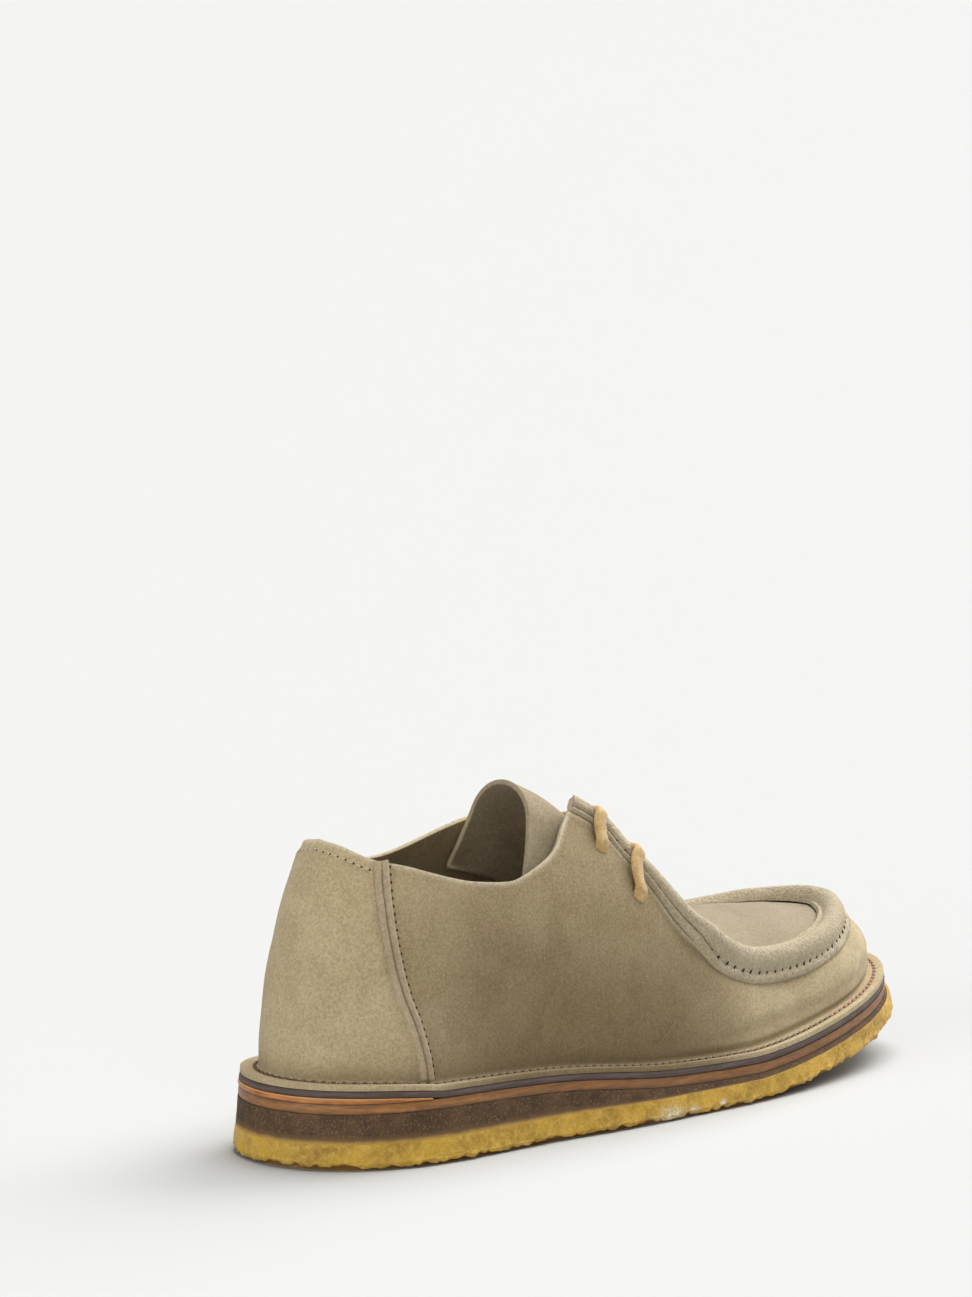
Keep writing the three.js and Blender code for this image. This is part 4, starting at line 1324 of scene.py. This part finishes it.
@dataclass
class Lacing:
    """The two lace bars: each runs out of one hole, over the strips and down the other hole."""

    band: SeamBand
    tongue: CurledTongue
    last: Last = LAST
    width: float = 5.4
    thickness: float = 2.6
    columns: int = 150
    rows: int = 25
    squareness: float = 0.6

    def path(self, t: float, inset: float) -> Array:
        """Middle line of one bar, from inside the lateral hole to inside the medial hole."""
        at = np.array([t])
        half = []
        width, height = self.band.size(t)
        low = 0.5 * self.thickness
        for side in (-1, 1):
            hole, aim = self.last.lace_hole(t, side, inset)
            edge, inward, _, normal = (a[0] for a in self.last.frames(at, side))
            out = unit(hole - edge)
            over = inset * self.last.ball_width
            half.append([
                *(hole + aim * up + out * past for up, past in LACE_ENDS),
                hole + aim * (low + 0.7) - out * 2.6,
                edge + out * 0.4 * over + normal * (low + 0.45 * height),
                edge + inward * 0.12 * width + normal * (height + low - 0.3),
                edge + inward * 0.6 * width + normal * (height + low + 0.1),
            ])
        middle_x = 0.5 * (half[0][-1][0] + half[1][-1][0])
        middle = self.tongue.peak(np.array([self.last.share(middle_x)]))[0] + np.array([0, 0, low - 1.0])
        for points in half:
            points.append(lerp(points[-1], middle, 0.45) + np.array([0, 0, 0.2]))
        return np.array(half[0] + [middle] + half[1][::-1])

    def squared(self, wave: Array) -> Array:
        """A wave with fuller corners, for the flat section."""
        return np.sign(wave) * np.abs(wave) ** self.squareness

    def build(self, cloth: bpy.types.Material) -> list[bpy.types.Object]:
        """Sweeps a soft flat section along each bar."""
        made = []
        for (t, inset), word in zip(LACE_ROWS, ("upper", "lower")):
            line = rounded(self.path(t, inset), self.columns)
            tangent = unit(np.gradient(line, axis=0))
            forward = self.last.frames(np.array([t]), -1)[2][0]
            forward = unit(forward * np.array([1, 0, 1]))
            normal = unit(np.cross(tangent, forward))
            flat = unit(np.cross(normal, tangent))
            angle = np.linspace(0, 2 * np.pi, self.rows)
            wide = self.squared(np.cos(angle)) * self.width / 2
            tall = self.squared(np.sin(angle)) * self.thickness / 2
            grid = line[None] + flat[None] * wide[:, None, None] + normal[None] * tall[:, None, None]
            grid = grid + normal[None] * (0.06 * ripple(grid, 3.0, 8.0))[..., None]
            piece = grid_piece(f"lace_bar_{word}", grid, True)
            face_outward(piece)
            smooth_shade(piece, 60)
            dress(piece, (cloth,), (f"lace_{word}",))
            made.append(piece)
        return made


def rounded(points: Array, count: int) -> Array:
    """An even, smooth line through points.

    Args:
        points: the points that the line follows.
        count: number of places on it.

    Returns:
        The places, evenly spaced.
    """
    run = run_along(points, 0.5)
    fine = np.linspace(0, run[-1], 40 * len(points))
    slope = np.gradient(points, run, axis=0)
    i = np.clip(np.searchsorted(run, fine, side="right") - 1, 0, len(points) - 2)
    span = (run[i + 1] - run[i])[:, None]
    u = (fine - run[i])[:, None] / span
    line = hermite(u, (points[i], points[i + 1]), (span * slope[i], span * slope[i + 1]))
    length = run_along(line)
    even = np.linspace(0, length[-1], count)
    return np.stack([np.interp(even, length, line[:, k]) for k in range(3)], -1)


class Edge(Enum):
    """How a sole layer's side is worked."""

    CUT = "cut"
    CRUMBLED = "crumbled"


DUST_SPOTS = ((110.0, 2.4, 5.5), (122.0, 2.8, 2.2), (136.0, 3.0, 1.9))
"""White dust on the lateral side of the crepe: place along, height over the tread and reach."""


@dataclass(frozen=True)
class Ledge:
    """One row round a layer's side: up over a surface of the last, and out past the plan."""

    base: Callable[[Array], Array]
    up: float
    grow: float
    flare: float = 0.0
    sink: float = 0.0

    def out(self, t: Array) -> Array:
        """Distance past the plan, with a share of the crepe's flare."""
        return self.grow + self.flare * lerp(2.4, 4.0, smooth(0.7, 1, t))

    def height(self, x: Array, t: Array) -> Array:
        """Height of the row, which sinks in front of the heel."""
        return self.base(x) + self.up - self.sink * smooth(0, 0.16, t)


@dataclass
class SoleLayer:
    """One layer of the sole, from its lower to its upper face."""

    name: str
    node: str
    slot: str
    rows: Sequence[Ledge]
    edge: Edge = Edge.CUT
    last: Last = LAST
    end: float = 1.0
    stations: int = 220
    side_rows: int = 8
    face_rows: int = 8
    roughness: float = 0.12
    borders: tuple[float, float] = (1.0, 1.0)
    # Strength of the painted shade that darkens the side from the heel towards the forefoot
    forefoot_shade: float = 0.0

    def loops(self, t: Array, side: int) -> Array:
        """Rows of the side from bottom to top, shared out evenly."""
        made = []
        for row in self.rows:
            plan = self.last.edge(t, side, row.out(t))
            made.append(np.column_stack([plan, row.height(plan[:, 0], t)]))
        made = np.array(made)
        at = np.linspace(0, len(made) - 1, self.side_rows)
        i = np.clip(at.astype(int), 0, len(made) - 2)
        return made[i] + (made[i + 1] - made[i]) * (at - i)[:, None, None]

    def cut(self, side: Array, out: Array) -> Array:
        """The side's rows with the slight waves of a knife.

        Args:
            side: rows by stations by 3, from bottom to top.
            out: outward directions of the stations.

        Returns:
            The moved rows.
        """
        rise = np.linspace(0.0, 1.0, len(side))[:, None]
        shift = self.roughness * (ripple(side, 6.0, 1.0) + 0.6 * ripple(side, 2.0, 4.0))
        return side + out[None] * (shift * np.sin(np.pi * np.clip(rise, 0.12, 0.88)))[..., None]

    def crumbled(self, side: Array, out: Array) -> Array:
        """The side's rows with the crepe's torn lip and lumpy skin.

        Args:
            side: rows by stations by 3, from bottom to top.
            out: outward directions of the stations.

        Returns:
            The moved rows.
        """
        key = np.linspace(0.0, 1.0, len(side))[:, None] * (len(self.rows) - 1)
        lip = np.broadcast_to(side[len(side) * 2 // (len(self.rows) - 1)], side.shape)
        lumps = crumbs(lip, 3.6) + 0.7 * crumbs(lip, 2.0, 5.0) - 0.5
        wild = 0.8 * ripple(lip, 8.0, 2.0) + 0.95 * ripple(lip, 3.4, 4.0)
        torn = np.clip(wild + 0.8 * lumps, -0.6, 2.1)
        near = smooth(1.0, 1.9, key) * smooth(3.6, 2.2, key)
        skin = 0.28 * ripple(side, 5.0, 6.0) + 0.35 * (crumbs(side, 3.0, 2.0) - 0.3)
        shift = near * (0.5 * lumps + 0.35 * ripple(lip, 2.4, 9.0))
        shift = shift + skin * smooth(5.0, 3.5, key) * smooth(0.6, 1.6, key)
        moved = side + out[None] * shift[..., None]
        moved[..., 2] += torn * near
        return moved

    def build(self, material: bpy.types.Material) -> bpy.types.Object:
        """Makes the closed layer and paints its rise and borders."""
        t = np.linspace(0, self.end, self.stations)
        sides = {}
        for side in (-1, 1):
            rows = self.loops(t, side)
            out2 = unit(self.last.edge(t, side, 1.0) - self.last.edge(t, side, 0.0))
            out = np.column_stack([out2, np.zeros(len(t))])
            sides[side] = self.crumbled(rows, out) if self.edge is Edge.CRUMBLED else self.cut(rows, out)
        if self.edge is Edge.CRUMBLED:
            for side in (-1, 1):
                for end in (0, -1):
                    sides[side][:, end] = 0.5 * (sides[-1][:, end] + sides[1][:, end])
        across = np.linspace(0, 1, self.face_rows + 2)[1:-1]
        bottom = [lerp(sides[1][0], sides[-1][0], s) for s in across]
        top = [lerp(sides[-1][-1], sides[1][-1], s) for s in across]
        if self.edge is Edge.CRUMBLED:
            for row in bottom:
                row[:, 2] = self.last.lift(row[:, 0])
        grid = np.array([*bottom, *sides[-1], *top, *sides[1][::-1], bottom[0]])
        # Painted shade, read by the crepe: 1 on the tread and the lowest side rows under the torn lip
        low = smooth(1.95, 1.2, np.linspace(0, len(self.rows) - 1, self.side_rows))
        under = np.concatenate([np.ones(self.face_rows), low, np.zeros(self.face_rows), low[::-1], [1.0]])
        piece = grid_piece(self.name, grid, self.end < 1.0, {"under": under[:, None]})
        smooth_shade(piece, 50)
        self.paint_rise(piece)
        dress(piece, (material,), (self.node,))
        return piece

    def paint_rise(self, piece: bpy.types.Object) -> None:
        """Stores each vertex's place between the layer's lower and upper face."""
        points = vertices_of(piece)
        x = points[:, 0]
        t = self.last.plan_t(x)
        low, high = self.rows[0].height(x, t), self.rows[-1].height(x, t)
        rise = np.clip((points[:, 2] - low) / np.maximum(high - low, 0.2), 0, 1)
        paint(piece, "rise", rise)
        ragged = 0.28 * ripple(points, 2.6, 8.0)
        down = np.clip(1 - 2 * rise - 0.45 + ragged, 0, 1) * self.borders[0]
        above = np.clip(2 * rise - 1 - 0.55 + ragged, 0, 1) * self.borders[1]
        # Dark borders at the joints, plus painted shade from the heel towards the forefoot
        paint(piece, "border_and_shade", np.clip(2.2 * (down + above) + self.forefoot_shade * smooth(5, 70, x), 0, 1))
        dusty = 0.2 * smooth(0.5, 0.0, rise) * smooth(0.2, 0.9, ripple(points, 16.0, 3))
        for along, up, size in DUST_SPOTS:
            away = np.hypot((x - along) / size, (points[:, 2] - low - up) / (0.5 * size))
            dusty = dusty + np.exp(-(away ** 2)) * (points[:, 1] < 0)
        paint(piece, "dust", np.clip(dusty, 0, 1))


def sole_layers() -> list[tuple[SoleLayer, str]]:
    """The sole's layers from the ground up, each with the name of its finish."""
    tread, crepe_top, wedge_top = LAST.lift, LAST.crepe_top, LAST.wedge_top
    midsole_top, strip_top = LAST.midsole_top, LAST.heel_rand_top
    return [
        (SoleLayer("crepe_outsole", "outsole", "crepe", (
            Ledge(tread, 0.0, -3.2, 1.0), Ledge(tread, 1.4, -2.6, 1.0), Ledge(tread, 1.5, -0.5, 1.0),
            Ledge(tread, 2.6, 0.1, 1.0), Ledge(tread, 5.25, 0.0, 1.0, 2.1), Ledge(crepe_top, 0.0, 0.0, 0.7),
        ), Edge.CRUMBLED, stations=760, side_rows=26), "crepe"),
        (SoleLayer("heel_wedge", "wedge", "wedge_cork", (
            Ledge(crepe_top, 0.0, 1.6), Ledge(wedge_top, 0.0, 0.75),
        )), "wedge"),
        (SoleLayer("leather_midsole", "midsole", "midsole_leather", (
            Ledge(wedge_top, 0.12, 0.45), Ledge(wedge_top, 1.2, 0.7), Ledge(midsole_top, 0.0, 0.45),
        ), forefoot_shade=0.4), "midsole"),
        (SoleLayer("heel_strip", "heel_rand", "heel_leather", (
            Ledge(midsole_top, 0.15, 0.4), Ledge(LAST.strip_middle, 0.0, 0.75), Ledge(strip_top, 0.0, 0.45),
        ), end=0.235, side_rows=7, borders=(1.2, 0.0)), "strip"),
        (SoleLayer("dark_rand", "rand", "rand_leather", (
            Ledge(strip_top, 0.12, 0.1), Ledge(strip_top, 1.1, 0.45), Ledge(LAST.rand_top, 0.1, 0.0),
        ), side_rows=7, roughness=0.2), "rand"),
    ]


@dataclass
class StitchRow:
    """A row of like stitches: one is modelled, and copies are set along a seam."""

    name: str
    length: float
    width: float
    height: float

    def model(self) -> tuple[Array, list[tuple[int, ...]]]:
        """One stitch: a small ball drawn out, with its ends tucked in.

        Returns:
            Vertices in millimetres and faces.
        """
        deselect()
        bpy.ops.mesh.primitive_uv_sphere_add(segments=8, ring_count=6, radius=0.5)
        ball = bpy.context.object
        with editing(ball):
            bpy.ops.transform.rotate(value=np.pi / 2, orient_axis="Y", center_override=(0, 0, 0))
            bpy.ops.transform.resize(value=(self.length, self.width, self.height), center_override=(0, 0, 0))
        flat = np.empty(len(ball.data.vertices) * 3)
        ball.data.vertices.foreach_get("co", flat)
        points = flat.reshape(-1, 3)
        points[:, 2] -= 0.5 * self.height * (np.abs(points[:, 0]) / (0.5 * self.length)) ** 3
        faces = [tuple(face.vertices) for face in ball.data.polygons]
        bpy.data.objects.remove(ball)
        return points, faces

    def build(self, frames: Frames, material: bpy.types.Material, slot: str) -> bpy.types.Object:
        """Copies the stitch to every frame and joins the copies.

        Args:
            frames: places, ways along and normals.
            material: the thread.
            slot: the record's slot that it goes with; not used.

        Returns:
            The joined row.
        """
        shape, faces = self.model()
        places, ways, ups = frames
        sideways = unit(np.cross(ups, ways))
        ups = unit(np.cross(ways, sideways))
        points = (places[:, None] + ways[:, None] * shape[None, :, :1] + sideways[:, None] * shape[None, :, 1:2]
                  + ups[:, None] * shape[None, :, 2:])
        count = len(shape)
        every = [tuple(v + k * count for v in face) for k in range(len(places)) for face in faces]
        mesh = bpy.data.meshes.new(self.name)
        mesh.from_pydata((points.reshape(-1, 3) * MM).tolist(), [], every)
        piece = bpy.data.objects.new(self.name, mesh)
        bpy.context.scene.collection.objects.link(piece)
        smooth_shade(piece, 80)
        dress(piece, (material,))
        return piece


def on_path(path: Callable[[Array], Array], marks: Array, ups: Array, step: float = FINE) -> Frames:
    """Frames at marks on a path, with given normals; each way looks one step ahead."""
    spots = path(marks)
    return spots, unit(path(marks + step) - spots), ups


def both_sides(row: Callable[[int], Frames]) -> Frames:
    """The frames of the lateral and the medial side in one."""
    spots, ways, ups = (np.concatenate(pair) for pair in zip(row(-1), row(1)))
    return spots, ways, ups


def flange_frames(last: Last, pitch: float, part: tuple[float, float], phase: float = 0.0) -> Frames:
    """The stitches that hold the turned-out flange on the sole.

    Args:
        last: the foot form.
        pitch: stitch pitch.
        part: first and last station that are kept.
        phase: share of a pitch by which the row is moved on.

    Returns:
        Places, ways along and normals.
    """
    def path(t: Array, side: int) -> Array:
        """The seam's line on a side."""
        plan = last.edge(t, side, -last.stitch_inset(t))
        return np.column_stack([plan, last.seat(plan[:, 0]) - STITCH_SINK])

    def row(side: int) -> Frames:
        """The frames of a side."""
        line = partial(path, side=side)
        marks = even_stations(line, 0.0, 1.0, pitch)
        marks = marks[:-1] + phase * np.diff(marks)
        marks = marks[(marks >= part[0]) & (marks < part[1])]
        return on_path(line, marks, np.tile([0.0, 0.0, 1.0], (len(marks), 1)))

    return both_sides(row)


STITCH_SINK = 0.1
"""How deep the flange's stitches lie in their groove."""
COLLAR_ROW_END = 0.158
"""Station at which the collar's stitch row stops, just behind the heel seam."""


def collar_frames(last: Last, pitch: float, below: float, shift: float = 0.0) -> Frames:
    """The short stitch row under the heel's collar.

    Args:
        last: the foot form.
        pitch: stitch pitch.
        below: distance under the cut edge.
        shift: stations by which the row is moved on.

    Returns:
        Places, ways along and normals.
    """
    def path(t: Array, side: int) -> Array:
        """The row's line on a side."""
        return last.point(t, side, last.below_edge(t, side, below))

    def row(side: int) -> Frames:
        """The frames of a side."""
        line = partial(path, side=side)
        marks = even_stations(line, 0.0, COLLAR_ROW_END, pitch)[:-1] + shift
        spots, ways, ups = on_path(line, marks, last.normal(marks, side, last.below_edge(marks, side, below)))
        return spots + ups * 0.05, ways, ups

    return both_sides(row)


LIGHTS = (
    # name, strength, width in degrees, way
    ("top_light", 3.8, 55, (-0.35, -0.02, -1.0)),
    ("toe_light", 2.1, 45, (-0.9, -0.04, -0.6)),
    ("heel_light", 1.2, 40, (0.96, 0.06, -0.22)),
    ("fill_light", 0.6, 50, (0.66, 0.7, -0.22)),
)


@dataclass
class Studio:
    """Pale floor, soft light from above and the camera of the photograph."""

    camera_at: tuple[float, float, float] = (-1.6647, -1.7588, 0.5328)
    camera_way: tuple[float, float, float] = (0.6941, 0.7049, -0.1462)
    lens: float = 197.73
    floor_colour: Colour = (0.505, 0.507, 0.5)
    sky_colour: Colour = (1.0, 1.0, 0.99)
    sky: float = 0.15

    def build(self) -> None:
        """Adds floor, lights, world and camera."""
        deselect()
        bpy.ops.mesh.primitive_plane_add(size=60, location=(0, 0, 0))
        floor = bpy.context.object
        floor.name = "studio_floor"
        recipe = Recipe("floor_paper")
        put_materials(floor, (recipe.close(self.floor_colour, 0.9, Specular_IOR_Level=0.1),))
        for row in LIGHTS:
            self.light(*row)
        world = bpy.data.worlds.new("studio_world")
        world.use_nodes = True
        sky = world.node_tree.nodes["Background"]
        sky.inputs[0].default_value = (*self.sky_colour, 1.0)
        sky.inputs[1].default_value = self.sky
        scene = bpy.context.scene
        scene.world = world
        scene.view_settings.view_transform = "Standard"
        lens = bpy.data.cameras.new("photo_camera")
        lens.lens = self.lens
        lens.sensor_width = 36
        lens.clip_end = 200
        camera = bpy.data.objects.new("photo_camera", lens)
        scene.collection.objects.link(camera)
        camera.location = self.camera_at
        camera.rotation_euler = Vector(self.camera_way).to_track_quat("-Z", "Y").to_euler()
        scene.camera = camera

    @staticmethod
    def light(name: str, strength: float, angle: float, way: tuple[float, float, float]) -> None:
        """A wide soft light that shines along a way.

        Args:
            name: the light's name.
            strength: its strength.
            angle: its width in degrees, which softens shadows.
            way: the direction that it shines in.
        """
        lamp = bpy.data.lights.new(name, "SUN")
        lamp.energy = strength
        lamp.angle = np.radians(angle)
        piece = bpy.data.objects.new(name, lamp)
        piece.rotation_euler = Vector(way).to_track_quat("-Z", "Y").to_euler()
        bpy.context.scene.collection.objects.link(piece)


def main() -> None:
    """Builds the studio and every piece of the boot, in order."""
    logging.basicConfig(level=logging.INFO, format="%(name)s %(message)s")
    Studio().build()
    suede, top_suede, band_suede, lit_flesh, raw, tongue_out = (finish.material() for finish in UPPER_SUEDES)

    UpperShell().build((suede, lit_flesh, raw))
    band = SeamBand()
    band.build(band_suede)
    ToePlug().build((top_suede, lit_flesh, raw))
    tongue = CurledTongue()
    tongue.build((tongue_out, lit_flesh, raw))
    seams = HeelSeams()
    seams.build(Suede("suede_seam", (0.4, 0.31, 0.18), (0.48, 0.38, 0.235), (0.56, 0.46, 0.31), fuzz=0.35).material())
    Lacing(band, tongue).build(SoftLace().material())

    finishes = {
        "crepe": Crepe().material(),
        "wedge": Cork().material(),
        "midsole": CutLeather("midsole_edge", (0.46, 0.205, 0.055), (0.15, 0.066, 0.024), 0.42).material(),
        # 0.6 is the strength of the painted highlight along the strip's top
        "strip": CutLeather("heel_strip_edge", (0.66, 0.27, 0.062), (0.22, 0.07, 0.025), 0.42, 0.6).material(),
        "rand": CutLeather("rand_edge", (0.14, 0.092, 0.076), (0.06, 0.04, 0.034), 0.55).material(),
    }
    for layer, finish in sole_layers():
        layer.build(finishes[finish])

    needle, brown, grey, rose, cream = (thread.material() for thread in THREADS)
    for word, thread, part in (("heel", brown, (0.0, 0.2)), ("side", grey, (0.2, 0.7)), ("toe", rose, (0.7, 1.01))):
        StitchRow(f"flange_stitches_{word}", 2.9, 1.5, 1.4).build(flange_frames(LAST, 3.6, part), thread, "lace")
    # The holes and the roll's stitch slits are dark marks of painted shade
    StitchRow("flange_holes", 0.8, 1.0, 0.6).build(flange_frames(LAST, 3.6, (0.0, 1.01), 0.5), needle, "suede")
    StitchRow("roll_stitches", 3.1, 0.8, 0.8).build(band.stitch_frames(), needle, "suede")
    StitchRow("heel_seam_holes", 1.2, 0.6, 0.5).build(seams.stitch_frames(), needle, "suede")
    StitchRow("collar_stitches", 1.9, 0.75, 0.5).build(collar_frames(LAST, 3.1, 4.0), cream, "lace")
    StitchRow("collar_holes", 0.9, 0.7, 0.4).build(collar_frames(LAST, 3.1, 4.0, 0.0048), needle, "suede")

    board = Suede("insole_board", (0.22, 0.17, 0.11), (0.3, 0.24, 0.16), (0.36, 0.3, 0.2), 0.6, 30, 0.1).material()
    put_materials(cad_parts["insole"], (board,))


if __name__ == "__main__":
    main()
